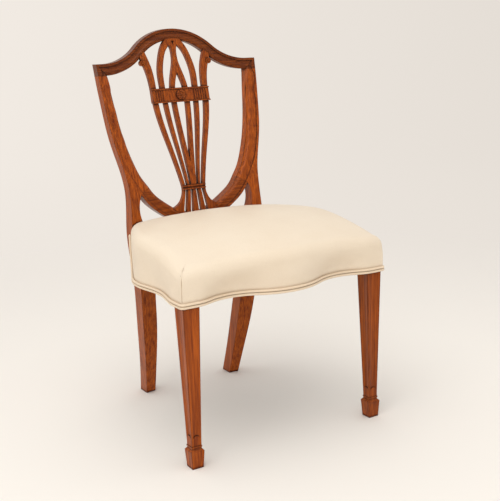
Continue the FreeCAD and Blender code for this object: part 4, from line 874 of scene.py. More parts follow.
def felted(name, light, shade):
    """Matted fibres of the stuffing."""
    material, tree, shader = new_material(name, Roughness=0.95, Specular_IOR_Level=0.1)
    vector = object_coordinates(tree)
    fibres = noise_value(tree, vector, 420.0, 8.0, 0.75, 2.0)
    clumps = noise_value(tree, vector, 60.0, 4.0, 0.6)
    colour = blend_colour(tree, spread(tree, clumps, 0.35, 0.65), light, shade)
    strands = spread(tree, fibres, 0.55, 0.62, 0.0, 0.5)
    deep = tuple(value * 0.55 for value in shade[:3])
    feed(tree, shader, Base_Color=blend_colour(tree, strands, colour, deep))
    bumped(tree, shader, maths(tree, "ADD", fibres, clumps), 0.6, 0.002)
    return material


# Settings that a user would change

def colour_property(name, description, default):
    return FloatVectorProperty(
        name=name, description=description, default=default,
        subtype="COLOR", size=3, min=0.0, max=1.0
    )


def number_property(name, description, default, low=0.0, **limits):
    return FloatProperty(name=name, description=description, default=default, min=low, **limits)


def length_property(name, description, default, low=0.0, **limits):
    return number_property(name, description, default, low, unit="LENGTH", **limits)


class ChairWoodSettings(bpy.types.PropertyGroup):
    """Finish of the mahogany and of the beech frame."""

    dark_colour: colour_property(
        "Dark grain", "Darkest streaks of the mahogany", (0.085, 0.012, 0.001)
    )
    light_colour: colour_property(
        "Light grain", "Lightest streaks of the mahogany", (0.420, 0.092, 0.006)
    )
    figure_colour: colour_property("Figure", "Broad bands of the mahogany", (0.230, 0.037, 0.003))
    pore_colour: colour_property("Pores", "Filled pores of the mahogany", (0.060, 0.011, 0.004))
    # Lighter edges: polish rubbed thin, and a painted highlight
    worn_and_highlit_edge_colour: colour_property(
        "Rubbed edges", "Where the polish is rubbed thin", (0.520, 0.160, 0.022)
    )
    # Painted shade: the dark colour laid into inner corners and beside edges and quirks
    painted_shade_colour: colour_property(
        "Crevices", "Old polish in inner corners", (0.030, 0.006, 0.002)
    )
    # How dark the painted shade in inner corners is
    corner_shade_depth: number_property(
        "Crevice strength", "How dark inner corners are", 0.95, subtype="FACTOR", max=1.0
    )
    # How far the painted shade reaches out of a corner
    corner_shade_reach: length_property(
        "Crevice reach", "How far dark polish reaches out of a corner", 0.007
    )
    # How wide the painted shade beside edges and quirks is
    shade_line_radius: length_property(
        "Polish line radius", "How far dark polish has built up beside edges and quirks", 0.0024
    )
    # How dark the painted shade beside edges and quirks is
    shade_line_depth: number_property(
        "Polish line strength", "How dark the polish beside edges and quirks is", 0.7,
        subtype="FACTOR", max=1.0
    )
    edge_radius: length_property(
        "Edge radius", "Rounding of the wood's edges in the shading", 0.0011
    )
    beech_light: colour_property("Beech light", "Light grain of the seat frame", (0.60, 0.40, 0.23))
    beech_dark: colour_property("Beech dark", "Dark grain of the seat frame", (0.43, 0.25, 0.12))
    # Flecks of the pores, and the painted shade of inner corners
    beech_fleck_and_shade: colour_property(
        "Beech flecks", "Flecks and dust on the seat frame", (0.24, 0.13, 0.06)
    )


class ChairSeatSettings(bpy.types.PropertyGroup):
    """Upholstery of the seat."""

    leather_light: colour_property("Leather", "Colour of the leather", (0.865, 0.755, 0.610))
    leather_shade: colour_property(
        "Leather tone", "Its slightly darker patches", (0.835, 0.715, 0.565)
    )
    piping_light: colour_property("Piping", "Colour of the double piping", (0.850, 0.710, 0.545))
    piping_shade: colour_property(
        "Piping tone", "Darker patches of the piping", (0.815, 0.665, 0.495)
    )
    # Darker pits of the grain and seams, and the painted shade of inner corners
    pit_seam_and_shade_colour: colour_property("Leather pits", "Grime in the grain and seams", (0.46, 0.32, 0.20))
    pebble_scale: number_property(
        "Pebbles per metre", "Fineness of the leather's grain", 620.0, low=1.0
    )
    swell: length_property(
        "Swell", "Furthest that the stuffing pushes the leather out", 0.0030, max=0.01
    )
    pressure: number_property(
        "Stuffing pressure", "Pressure under the leather in the simulation", 4.0
    )
    seam_depth: length_property("Seam depth", "Depth of the front corner seams", 0.0016)
    piping_diameter: length_property(
        "Piping diameter", "Thickness of each cord of the double piping", 0.0056, low=0.001
    )
    stuffing_light: colour_property("Stuffing", "Cotton felt and hair", (0.66, 0.58, 0.46))
    stuffing_shade: colour_property("Stuffing tone", "Darker clumps of it", (0.50, 0.41, 0.30))
    calico_light: colour_property("Calico", "Undyed cotton lining", (0.80, 0.74, 0.62))
    calico_shade: colour_property("Calico tone", "Its darker threads", (0.70, 0.63, 0.50))


class ChairSupportSettings(bpy.types.PropertyGroup):
    """Webbing, hessian and the cloth under the seat."""

    webbing_light: colour_property("Webbing", "Jute webbing", (0.52, 0.38, 0.22))
    webbing_dark: colour_property("Webbing tone", "Its darker threads", (0.40, 0.28, 0.15))
    webbing_stripe: colour_property("Webbing stripe", "Stripe along its edges", (0.10, 0.07, 0.05))
    hessian_light: colour_property("Hessian", "Loosely woven jute", (0.50, 0.36, 0.20))
    hessian_shade: colour_property("Hessian tone", "Its darker threads", (0.36, 0.25, 0.13))
    dust_light: colour_property("Dust cover", "Black cloth under the seat", (0.020, 0.020, 0.022))
    dust_shade: colour_property("Dust cover tone", "Its darker threads", (0.010, 0.010, 0.011))
    sag: length_property(
        "Dust cover sag", "How far the dust cover hangs in the middle", 0.003, max=0.01
    )


class ChairStudioSettings(bpy.types.PropertyGroup):
    """Floor, lamps and camera."""

    floor_colour: colour_property("Floor", "Pale studio floor", (0.925, 0.890, 0.845))
    backdrop_left: colour_property(
        "Backdrop left", "Backdrop on the lit side", (0.880, 0.823, 0.761)
    )
    # Painted shade of the backdrop on the side away from the lamps
    backdrop_shaded_side: colour_property(
        "Backdrop right", "Backdrop on the far side", (0.783, 0.730, 0.672)
    )
    key_power: number_property("Key lamp", "Power of the large lamp overhead", 36.0, unit="POWER")
    fill_power: number_property(
        "Fill lamp", "Power of the soft lamp at the left", 12.0, unit="POWER"
    )
    ambient: number_property("Ambient light", "Strength of the even light from all round", 0.82)
    lens: number_property(
        "Focal length", "Focal length of the camera in millimetres", 66.11, low=1.0, unit="CAMERA"
    )


# Wooden and steel pieces, which keep their CAD shapes

def dress(nodes, material):
    """Gives CAD nodes a material in every slot."""
    for name in nodes:
        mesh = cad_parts[name].data
        mesh.materials.clear()
        mesh.materials.append(material)


class CHAIR_OT_polish_mahogany(bpy.types.Operator):
    """Gives the back and the front legs their polished mahogany"""

    bl_idname = "chair.polish_mahogany"
    bl_label = "Polish mahogany"

    def execute(self, context):
        wood = context.scene.chair_wood
        upright = (1.0, 1.0, 0.02)
        level = (0.02, 1.0, 1.0)
        # The last number of each is its tone: the pieces are made lighter or darker by how they are
        # lit, as painted light and shade, the right front leg darker than its twin on the left
        finishes = {
            "rear_post_right": (upright, (0.3, 0.1, 0.0), 1.33),
            "rear_post_left": (upright, (1.7, 0.4, 0.2), 1.33),
            "crest_rail": (level, (0.1, 0.9, 0.3), 0.62),
            "lower_shield_rail": (level, (0.5, 0.2, 0.8), 1.0),
            "splat": (upright, (0.9, 0.6, 0.5), 1.12),
            "front_leg_right": (upright, (0.4, 1.2, 0.7), 1.12),
            "front_leg_left": (upright, (1.1, 0.3, 0.9), 1.32),
        }
        for node, (scale, move, tone) in finishes.items():
            dress([node], polished_wood("mahogany_" + node, wood, scale, move, tone))
        return {"FINISHED"}


class CHAIR_OT_plane_beech(bpy.types.Operator):
    """Gives the hidden seat rails and corner blocks their planed beech"""

    bl_idname = "chair.plane_beech"
    bl_label = "Plane beech"

    def execute(self, context):
        wood = context.scene.chair_wood
        across = plain_wood("beech_across", wood, (0.06, 1.0, 1.0), (0.2, 0.1, 0.4))
        along = plain_wood("beech_along", wood, (1.0, 0.06, 1.0), (0.6, 0.3, 0.1))
        dress(["front_seat_rail", "rear_seat_rail"], across)
        dress(["side_seat_rail_right", "side_seat_rail_left"], along)
        places = ("front_right", "front_left", "rear_right", "rear_left")
        blocks = ["corner_block_" + place for place in places]
        dress(blocks, plain_wood("beech_blocks", wood, (0.3, 0.3, 1.0), (0.8, 0.5, 0.2)))
        return {"FINISHED"}


class CHAIR_OT_finish_steel(bpy.types.Operator):
    """Gives the screws and tacks their steel"""

    bl_idname = "chair.finish_steel"
    bl_label = "Finish screws and tacks"

    def execute(self, context):
        dress(["corner_block_screws"], worn_steel("screw_steel", (0.60, 0.58, 0.55), 0.28, 0.45))
        blued = worn_steel("tack_steel", (0.16, 0.17, 0.20), 0.3, 0.55)
        dress(["webbing_tacks", "dust_cover_tacks"], blued)
        return {"FINISHED"}


# The seat's soft layers

SWELL_FRAMES = 20

# Distance in metres over which the swell is evened out, and how many points stand for one
SWELL_REACH = 0.018
ANCHOR_STEP = 24

# Distances before the back, and heights above the cover's lower edge, between which the
# leather passes from held to free
HELD_BEFORE_BACK = 12.0
FREE_BEFORE_BACK = 40.0
HELD_ABOVE_EDGE = 13.0
FREE_ABOVE_EDGE = 38.0
LEATHER_CLOTH = {
    "quality": 5,
    "mass": 0.3,
    "tension_stiffness": 18.0,
    "compression_stiffness": 18.0,
    "shear_stiffness": 8.0,
    "bending_stiffness": 1.5,
}

# Corner seams, in columns of the cover's mesh: how far they reach to each side, the width of the
# groove, and the place, width and share of height of the lip beside it
SEAM_REACH = 6
GROOVE_WIDTH = 0.8
LIP_PLACE = 2.4
LIP_WIDTH = 1.2
LIP_SHARE = 0.45

# Unevenness of hand stretched leather: how fast it changes, per metre, and how far it goes
BROAD_PITCH = 14.0
BROAD_DEPTH = 0.55
SMALL_PITCH = 46.0
SMALL_DEPTH = 0.16

# Folds over each front corner: how many to a full turn, their depth, the heights between
# which they start, and the distances from the corner between which they end
FOLD_COUNT = 22.0
FOLD_DEPTH = 0.45
FOLD_START = (425.0, 440.0)
FOLD_END = (10.0, 55.0)

# Tufts of the stuffing: how fast they change, per metre, how far they go, how far they lie below
# the smooth surface as a share of that, and the heights between which they start
TUFT_PITCH = 60.0
TUFT_DEPTH = 0.4
TUFT_SUNK = 0.6
TUFT_START = (440.0, 450.0)


def simulate_swell(piece, pressure, frames):
    """Where each point of a sheet ends when pressure pushes it out, its pinned points held."""
    cloth = piece.modifiers.new("Swell", "CLOTH")
    for key, value in LEATHER_CLOTH.items():
        setattr(cloth.settings, key, value)
    cloth.settings.vertex_group_mass = "pinned"
    cloth.settings.use_pressure = True
    cloth.settings.uniform_pressure_force = pressure
    cloth.settings.effector_weights.gravity = 0.0
    cloth.point_cache.frame_start = 1
    cloth.point_cache.frame_end = frames
    scene = bpy.context.scene
    for number in range(1, frames + 1):
        scene.frame_set(number)
    shaped = piece.evaluated_get(bpy.context.evaluated_depsgraph_get())
    places = [vertex.co.copy() for vertex in shaped.data.vertices]
    piece.modifiers.remove(cloth)
    scene.frame_set(1)
    return places


def near_back(place):
    """1 beside and behind the back, where the leather lies close to the wood, 0 elsewhere."""
    face = back_face(place.x / MM, place.z / MM) * MM
    return smooth(place.y, face - FREE_BEFORE_BACK * MM, face - HELD_BEFORE_BACK * MM)


def swell_weight(place):
    """How freely the stuffing moves the leather: not at all at the piping and the back."""
    above = place.z / MM - COVER_BOTTOM
    return smooth(above, HELD_ABOVE_EDGE, FREE_ABOVE_EDGE) * (1 - near_back(place))


def evened(places, values, reach):
    """Each value averaged over its surroundings, so that no line of the mesh shows in them."""
    anchors, known = places[::ANCHOR_STEP], values[::ANCHOR_STEP]
    away = np.linalg.norm(places[:, None] - anchors[None], axis=2)
    weights = np.exp(-0.5 * (away / reach) ** 2)
    return weights @ known / weights.sum(axis=1)


def fill_cover(piece, settings):
    """Pushes the leather out as its stuffing does, by less than the swell setting."""
    pinned = piece.vertex_groups.new(name="pinned")
    weights = [swell_weight(vertex.co) for vertex in piece.data.vertices]
    for index, weight in enumerate(weights):
        pinned.add([index], 1.0 - weight, "REPLACE")
    rest = np.array([vertex.co for vertex in piece.data.vertices])
    normals = np.array([vertex.normal for vertex in piece.data.vertices])
    moves = np.array(simulate_swell(piece, settings.pressure, SWELL_FRAMES)) - rest
    outward = np.maximum(0.0, (moves * normals).sum(axis=1))
    outward = evened(rest, outward, SWELL_REACH)
    pushed = settings.swell * outward / (outward + settings.swell) * np.array(weights)
    piece.data.vertices.foreach_set("co", (rest + normals * pushed[:, None]).ravel())
    piece.vertex_groups.remove(pinned)
    piece.data.update()


def sew_corner_seams(piece, size, depth):
    """Sinks the seam of each front corner and the little tuck over its top."""
    normals = [vertex.normal.copy() for vertex in piece.data.vertices]
    sewn = [0.0] * len(normals)
    last_ring = WALL_RINGS + ROLL_RINGS // 2 - 1
    for ring in range(1, last_ring + 1):
        fade = 1 - smooth(ring, WALL_RINGS - 2, last_ring)
        for side in (1, -1):
            for step in range(-SEAM_REACH, SEAM_REACH + 1):
                groove = math.exp(-(step / GROOVE_WIDTH) ** 2)
                lip = LIP_SHARE * math.exp(-((abs(step) - LIP_PLACE) / LIP_WIDTH) ** 2)
                index = ring * size + (side * (SEAM_COLUMN + step)) % size
                piece.data.vertices[index].co += normals[index] * depth * (lip - groove) * fade
                sewn[index] = groove * fade
    attribute = piece.data.attributes.new("seam", "FLOAT", "POINT")
    attribute.data.foreach_set("value", sewn)
    piece.data.update()


def pull_leather(piece):
    """Slight unevenness of hand stretched leather, and folds drawn in to the front corners."""
    corner = Vector(SEAT_CORNERS[FRONT_CORNER][:2]) * MM
    normals = [vertex.normal.copy() for vertex in piece.data.vertices]
    for vertex, normal in zip(piece.data.vertices, normals):
        weight = swell_weight(vertex.co)
        broad = noise.noise(vertex.co * BROAD_PITCH) * BROAD_DEPTH
        small = noise.noise(vertex.co * SMALL_PITCH) * SMALL_DEPTH
        away = Vector((abs(vertex.co.x), vertex.co.y)) - corner
        turn = math.atan2(away.y, away.x)
        high = smooth(vertex.co.z / MM, *FOLD_START)
        close = 1 - smooth(away.length / MM, *FOLD_END)
        fold = FOLD_DEPTH * math.sin(turn * FOLD_COUNT) * high * close
        vertex.co += normal * ((broad + small) * weight + fold) * MM
    piece.data.update()


class CHAIR_OT_make_cover(bpy.types.Operator):
    """Builds the stretched cream leather cover with its corner seams"""

    bl_idname = "chair.make_cover"
    bl_label = "Make leather cover"

    def execute(self, context):
        seat = context.scene.chair_seat
        rings = seat_rings(0.0, COVER_BOTTOM, True)
        material = leather("cream_leather", seat, seat.leather_light, seat.leather_shade)
        cover = ring_piece("leather_cover", rings, material, False)
        fill_cover(cover, seat)
        pull_leather(cover)
        sew_corner_seams(cover, len(rings[0]), seat.seam_depth)
        thicken(cover, COVER_THICKNESS, -1.0)
        settle(cover, "leather", "seat_cover")
        return {"FINISHED"}


class CHAIR_OT_make_lining(bpy.types.Operator):
    """Builds the calico lining under the leather"""

    bl_idname = "chair.make_lining"
    bl_label = "Make calico lining"

    def execute(self, context):
        seat = context.scene.chair_seat
        rings = seat_rings(LINING_INSET, LINING_BOTTOM, True)
        material = woven("calico", seat.calico_light, seat.calico_shade, 5200.0, 0.25)
        lining = ring_piece("calico_lining", rings, material, False)
        thicken(lining, LINING_THICKNESS, -1.0)
        settle(lining, "calico", "seat_lining")
        return {"FINISHED"}


class CHAIR_OT_make_stuffing(bpy.types.Operator):
    """Builds the crowned pad of hair and cotton felt"""

    bl_idname = "chair.make_stuffing"
    bl_label = "Make stuffing"

    def execute(self, context):
        seat = context.scene.chair_seat
        rings = seat_rings(STUFFING_INSET, STUFFING_BOTTOM, False)
        material = felted("hair_and_felt", seat.stuffing_light, seat.stuffing_shade)
        pad = ring_piece("seat_pad", rings, material, True)
        for vertex in pad.data.vertices:
            uneven = noise.noise(vertex.co * TUFT_PITCH) - TUFT_SUNK
            high = smooth(vertex.co.z / MM, *TUFT_START)
            vertex.co.z += TUFT_DEPTH * MM * uneven * high
        settle(pad, "stuffing", "seat_stuffing")
        return {"FINISHED"}


# Double piping

PIPING_OUTSET = 2.9
PIPING_LEVELS = (366.8, 373.2)
PIPING_TURNS = (24.0, 17.6)
PIPING_CORNER = 9.0
PIPING_TOP = 452.0
PIPING_SIDES = 14
PIPING_POINTS = 330
PIPING_BEND_STEPS = 8
PIPING_END_RINGS = 3
# Unevenness of the cords and puckers of their strip: how fast they change along a cord, and how
# far they go as a share of its thickness
UNEVEN_PITCH = 0.11
UNEVEN_SHARE = 0.018
PUCKER_PITCH = 1.9
PUCKER_SHARE = 0.012


def piping_line(level, turn):
    """Line of one cord: round the front and sides, then turned up before the posts."""
    front, corner, side = plan_runs(-PIPING_OUTSET, PIPING_CORNER)
    clear = BACK_GAP + PIPING_OUTSET + PIPING_TURNS[0] - turn
    stop = back_face(SEAT_CORNERS[-1][0], level) - clear
    kept = [p for p in side if p.y < stop - turn]
    along = (side[-1] - side[-2]).normalized()
    last = kept[-1] + along * ((stop - turn - kept[-1].y) / along.y)
    end = last + along * (turn / along.y)
    level_points = [Vector((p.x, p.y, level)) for p in front + corner + kept + [last]]
    bend = []
    for step in range(1, PIPING_BEND_STEPS + 1):
        angle = step / PIPING_BEND_STEPS * math.pi / 2
        place = last.lerp(end, math.sin(angle))
        bend.append(Vector((place.x, place.y, level + turn * (1 - math.cos(angle)))))
    upright = [Vector((end.x, end.y, PIPING_TOP))]
    half = resampled(level_points + bend + upright, PIPING_POINTS)
    left = [Vector((-p.x, p.y, p.z)) for p in reversed(half[1:])]
    return left + half


def cord_piece(name, line, radius, material):
    """Leather covered cord along a line, puckered a little where its strip is stretched."""
    points = []
    for index, place in enumerate(line):
        before, after = line[max(index - 1, 0)], line[min(index + 1, len(line) - 1)]
        along = (after - before).normalized()
        out = along.cross(Vector((0, 0, 1)))
        if out.length < 0.2:
            out = Vector((1.0 if place.x > 0 else -1.0, 0, 0))
        out = out.normalized()
        up = out.cross(along).normalized()
        uneven = UNEVEN_SHARE * noise.noise(place * UNEVEN_PITCH)
        puckered = PUCKER_SHARE * math.sin(index * PUCKER_PITCH)
        rings_to_end = min(index, len(line) - 1 - index) + 1
        closing = math.sin(math.pi / 2 * min(1.0, rings_to_end / PIPING_END_RINGS))
        size = radius * (1 + uneven + puckered) * closing
        for side in range(PIPING_SIDES):
            angle = 2 * math.pi * side / PIPING_SIDES
            points.append(place + (out * math.cos(angle) + up * math.sin(angle)) * size)
    faces = ring_faces(len(line), PIPING_SIDES)
    faces.append(tuple(reversed(range(PIPING_SIDES))))
    faces.append(tuple(range(len(points) - PIPING_SIDES, len(points))))
    return new_piece(name, points, faces, material)


class CHAIR_OT_make_piping(bpy.types.Operator):
    """Builds the two leather covered cords along the lower edge of the seat"""

    bl_idname = "chair.make_piping"
    bl_label = "Make double piping"

    def execute(self, context):
        seat = context.scene.chair_seat
        material = leather("piping_leather", seat, seat.piping_light, seat.piping_shade)
        radius = seat.piping_diameter / MM / 2
        for name, level, turn in zip(("piping_lower", "piping_upper"), PIPING_LEVELS, PIPING_TURNS):
            cord = cord_piece(name, piping_line(level, turn), radius, material)
            settle(cord, "leather", "seat_piping")
        return {"FINISHED"}


# Webbing, hessian and dust cover

STRAP_OFFSETS = [STRAP_WIDTH * (step / STRAP_COLUMNS - 0.5) for step in range(STRAP_COLUMNS + 1)]


def over_under(place, pitches, parity, low, high):
    """Height of a strap at a place along it: high where it passes over a crossing strap."""
    for number, centre in enumerate(pitches):
        if (number + parity) % 2 == 0:
            away = abs(place - centre)
            if away < STRAP_WIDTH:
                return lerp(high, low, smooth(away / STRAP_WIDTH, *STRAP_BEND))
    return low


def length_strap_places():
    middle = (STRAP_COUNT - 1) / 2
    return [(number - middle) * LENGTH_STRAP_PITCH for number in range(STRAP_COUNT)]


def cross_strap_places():
    return [CROSS_STRAP_FIRST + number * CROSS_STRAP_PITCH for number in range(STRAP_COUNT)]


def strap_grid(starts, ends, height_at):
    """Points and quads of one strap between two lines of points across it."""
    across = len(starts)
    points, faces = [], []
    for step in range(STRAP_STEPS + 1):
        for start, end in zip(starts, ends):
            place = start.lerp(end, step / STRAP_STEPS)
            points.append(Vector((place.x, place.y, height_at(place))))
    for step in range(STRAP_STEPS):
        for column in range(across - 1):
            corner = step * across + column
            faces.append((corner, corner + 1, corner + across + 1, corner + across))
    return points, faces


def strap_piece(name, straps, material):
    """All straps of one direction in one object, with how near its edge each point is."""
    points, faces, edges = [], [], []
    for starts, ends, height_at in straps:
        grid, quads = strap_grid(starts, ends, height_at)
        base = len(points)
        points += grid
        faces += [tuple(base + index for index in quad) for quad in quads]
        across = len(starts)
        edges += [abs(2 * (index % across) / (across - 1) - 1) for index in range(len(grid))]
    piece = new_piece(name, points, faces, material)
    attribute = piece.data.attributes.new("strap_edge", "FLOAT", "POINT")
    attribute.data.foreach_set("value", edges)
    thicken(piece, STRAP_THICKNESS, 0.0)
    return piece


def line_at(run, axis, value):
    """Other coordinate of a plan line where one coordinate has a value."""
    pairs = sorted((p[axis], p[1 - axis]) for p in run)
    return float(np.interp(value, [a for a, _ in pairs], [b for _, b in pairs]))


def lengthwise_straps(front):
    """Starts, ends and heights of the straps that run back from the front rail."""
    straps = []
    for number, x in enumerate(length_strap_places()):
        places = [x + offset for offset in STRAP_OFFSETS]
        starts = [Vector((place, line_at(front, 0, abs(place)), 0)) for place in places]
        ends = [Vector((place, REAR_RAIL_BACK - STRAP_REAR_INSET, 0)) for place in places]

        def rise(place, parity=number):
            crossed = cross_strap_places()
            return over_under(place.y, crossed, parity, LENGTH_STRAP_LEVEL, CROSS_STRAP_LEVEL)

        straps.append((starts, ends, rise))
    return straps


def crosswise_straps(side):
    """Starts, ends and heights of the straps that run from side to side."""
    straps = []
    for number, y in enumerate(cross_strap_places()):
        edges = [(line_at(side, 1, y - offset), y - offset) for offset in STRAP_OFFSETS]
        starts = [Vector((-x, place, 0)) for x, place in edges]
        ends = [Vector((x, place, 0)) for x, place in edges]

        def dip(place, parity=number):
            crossed = length_strap_places()
            return over_under(place.x, crossed, parity, CROSS_STRAP_LEVEL, LENGTH_STRAP_LEVEL)

        straps.append((starts, ends, dip))
    return straps


class CHAIR_OT_weave_webbing(bpy.types.Operator):
    """Weaves four straps each way across the seat frame"""

    bl_idname = "chair.weave_webbing"
    bl_label = "Weave webbing"

    def execute(self, context):
        material = striped_webbing("jute_webbing", context.scene.chair_support)
        front, _, side = plan_runs(STRAP_INSET, SHARP_CORNER_RADIUS)
        lengthwise = strap_piece("straps_lengthwise", lengthwise_straps(front), material)
        settle(lengthwise, "webbing", "webbing_lengthwise")
        crosswise = strap_piece("straps_crosswise", crosswise_straps(side), material)
        settle(crosswise, "webbing", "webbing_crosswise")
        return {"FINISHED"}


def cloth_piece(name, outline, level_at, material):
    """Cloth made of rings that shrink from its outline to its middle.

    level_at gives the height at a share of the way from the middle out."""
    rings = []
    for step in range(CLOTH_RINGS + 1):
        share = 1 - step / (CLOTH_RINGS + 1)
        ring = []
        for point in outline:
            x, y = point.x * share, lerp(CROWN_CENTRE_Y, point.y, share)
            ring.append(Vector((x, y, level_at(share))))
        rings.append(whole_ring(ring))
    return ring_piece(name, rings, material, False)


class CHAIR_OT_lay_hessian(bpy.types.Operator):
    """Lays the hessian over the webbing"""

    bl_idname = "chair.lay_hessian"
    bl_label = "Lay hessian"

    def execute(self, context):
        support = context.scene.chair_support
        material = woven("hessian", support.hessian_light, support.hessian_shade, 1500.0, 0.6)
        wrap = (CLOTH_REAR_HALF_WIDTH, REAR_RAIL_FRONT + HESSIAN_LAP)
        outline = half_ring(HESSIAN_INSET, HESSIAN_CORNER, RAIL_TOP, wrap)
        cloth = cloth_piece("hessian_cloth", outline, lambda share: HESSIAN_LEVEL, material)
        thicken(cloth, CLOTH_THICKNESS, 0.0)
        settle(cloth, "hessian", "hessian")
        return {"FINISHED"}


def dust_cover_outline():
    """Edge of the cloth under the seat, notched round the front legs."""
    wrap = (CLOTH_REAR_HALF_WIDTH, REAR_RAIL_BACK - DUST_COVER_REAR_INSET)
    half = half_ring(DUST_COVER_INSET, SHARP_CORNER_RADIUS, RAIL_BOTTOM, wrap)
    clear = LEG_BLOCK / 2 + LEG_CLEARANCE
    x, y = LEG_AXIS[0] - clear, LEG_AXIS[1] + clear
    front = [p for p in half[:FRONT_POINTS + 1] if p.x < x]
    front.append(Vector((x, line_at(half[:FRONT_POINTS + 1], 0, x))))
    side_run = half[FRONT_POINTS + CORNER_POINTS:SIDE_END + 1]
    side = [Vector((line_at(side_run, 1, y), y))] + [p for p in side_run if p.y > y]
    notch = resampled([front[-1], Vector((x, y))], CORNER_POINTS // 2)[1:]
    notch += resampled([Vector((x, y)), side[0]], CORNER_POINTS // 2)[1:]
    line = resampled(front, FRONT_POINTS) + notch + resampled(side, SIDE_POINTS)[1:]
    return line + half[SIDE_END + 1:]


class CHAIR_OT_tack_dust_cover(bpy.types.Operator):
    """Tacks the black cloth under the seat"""

    bl_idname = "chair.tack_dust_cover"
    bl_label = "Tack dust cover"

    def execute(self, context):
        support = context.scene.chair_support
        material = woven("black_cloth", support.dust_light, support.dust_shade, 3600.0, 0.3)

        def level(share):
            return DUST_COVER_LEVEL - support.sag / MM * smooth(1 - share, SAG_STARTS, SAG_ENDS)

        cloth = cloth_piece("underside_cloth", dust_cover_outline(), level, material)
        thicken(cloth, CLOTH_THICKNESS, 0.0)
        settle(cloth, "dust_cloth", "dust_cover")
        return {"FINISHED"}


# Studio

# Floor of the studio in metres: its flat part, the curve that turns it up and the wall above
FLOOR_RADIUS = 5.0
FLOOR_RING_WIDTH = 0.4
FLOOR_RINGS = 12
FLOOR_CURVE = 1.6
CURVE_STEPS = 12
WALL_HEIGHT = 1.0
FLOOR_SEGMENTS = 96


def lamp(name, power, place, target, size, colour):
    """A soft square lamp that looks at a point."""
    light = bpy.data.lights.new(name, "AREA")
    light.shape = "SQUARE"
    light.size = size
    light.energy = power
    light.color = colour
    holder = bpy.data.objects.new(name, light)
    holder.location = place
    holder.rotation_euler = (Vector(target) - Vector(place)).to_track_quat("-Z", "Y").to_euler()
    bpy.context.scene.collection.objects.link(holder)


def studio_bowl(material):
    """Floor that curves up into a low wall all round, so every view has a backdrop."""
    profile = [(FLOOR_RING_WIDTH * step, 0.0) for step in range(1, FLOOR_RINGS + 1)]
    for step in range(CURVE_STEPS + 1):
        angle = step / CURVE_STEPS * math.pi / 2
        radius = FLOOR_RADIUS + FLOOR_CURVE * math.sin(angle)
        profile.append((radius, FLOOR_CURVE * (1 - math.cos(angle))))
    profile.append((FLOOR_RADIUS + FLOOR_CURVE, FLOOR_CURVE + WALL_HEIGHT))
    segments = FLOOR_SEGMENTS
    points = [(0.0, 0.0, 0.0)]
    for radius, height in profile:
        for index in range(segments):
            angle = 2 * math.pi * index / segments
            place = Vector((radius * math.cos(angle), radius * math.sin(angle), height))
            points.append(place / MM)
    faces = [(0, 1 + index, 1 + (index + 1) % segments) for index in range(segments)]
    for ring in range(len(profile) - 1):
        low, high = 1 + ring * segments, 1 + (ring + 1) * segments
        for index in range(segments):
            following = (index + 1) % segments
            faces.append((low + index, high + index, high + following, low + following))
    bowl = new_piece("studio_floor", points, faces, material)


def floor_material(settings):
    """Matt floor that keeps the chair's shadow and fades into a glowing pale backdrop, with painted
    light and shade: lighter on the lit side, darker on the far side.
    """
    material, tree = empty_material("studio_floor")
    coordinates = add(tree, "TexCoord")
    parts = add(tree, "SeparateXYZ")
    join(tree, coordinates.outputs["Object"], parts.inputs[0])
    matt = add(tree, "BsdfDiffuse", {"Color": (*settings.floor_colour, 1.0)})
    glow = add(tree, "Emission", {"Strength": 1.0})
    # Painted light and shade on the glowing backdrop: lighter on the left, darker on the right
    across = times(tree, parts.outputs["X"], math.cos(CAMERA_YAW))
    across = maths(tree, "SUBTRACT", across, times(tree, parts.outputs["Y"], math.sin(CAMERA_YAW)))
    sideways = spread(tree, across, -2.0, 2.4)
    backdrop = blend_colour(tree, sideways, settings.backdrop_left, settings.backdrop_shaded_side)
    join(tree, backdrop, glow.inputs["Color"])
    flat = add(tree, "VectorMath", {1: (1.0, 1.0, 0.0)}, operation="MULTIPLY")
    join(tree, coordinates.outputs["Object"], flat.inputs[0])
    length = add(tree, "VectorMath", operation="LENGTH")
    join(tree, flat.outputs[0], length.inputs[0])
    far = spread(tree, length.outputs["Value"], 0.8, 2.2)
    rays = add(tree, "LightPath")
    seen = maths(tree, "ADD", rays.outputs["Is Camera Ray"], rays.outputs["Is Glossy Ray"], True)
    mix = add(tree, "MixShader")
    join(tree, times(tree, far, seen), mix.inputs["Fac"])
    join(tree, matt.outputs[0], mix.inputs[1])
    join(tree, glow.outputs[0], mix.inputs[2])
    output = add(tree, "OutputMaterial")
    join(tree, mix.outputs[0], output.inputs["Surface"])
    return material


def studio_world(settings):
    """Even pale light from all round."""
    world = bpy.data.worlds.new("studio")
    world.use_nodes = True
    background = world.node_tree.nodes["Background"]
    background.inputs["Color"].default_value = (1.0, 0.985, 0.96, 1.0)
    background.inputs["Strength"].default_value = settings.ambient
    bpy.context.scene.world = world


CAMERA_PLACE = (-1.0723, -1.8965, 0.8873)
CAMERA_YAW = 0.5364
CAMERA_PITCH = 0.21774
CAMERA_ROLL = -0.03784


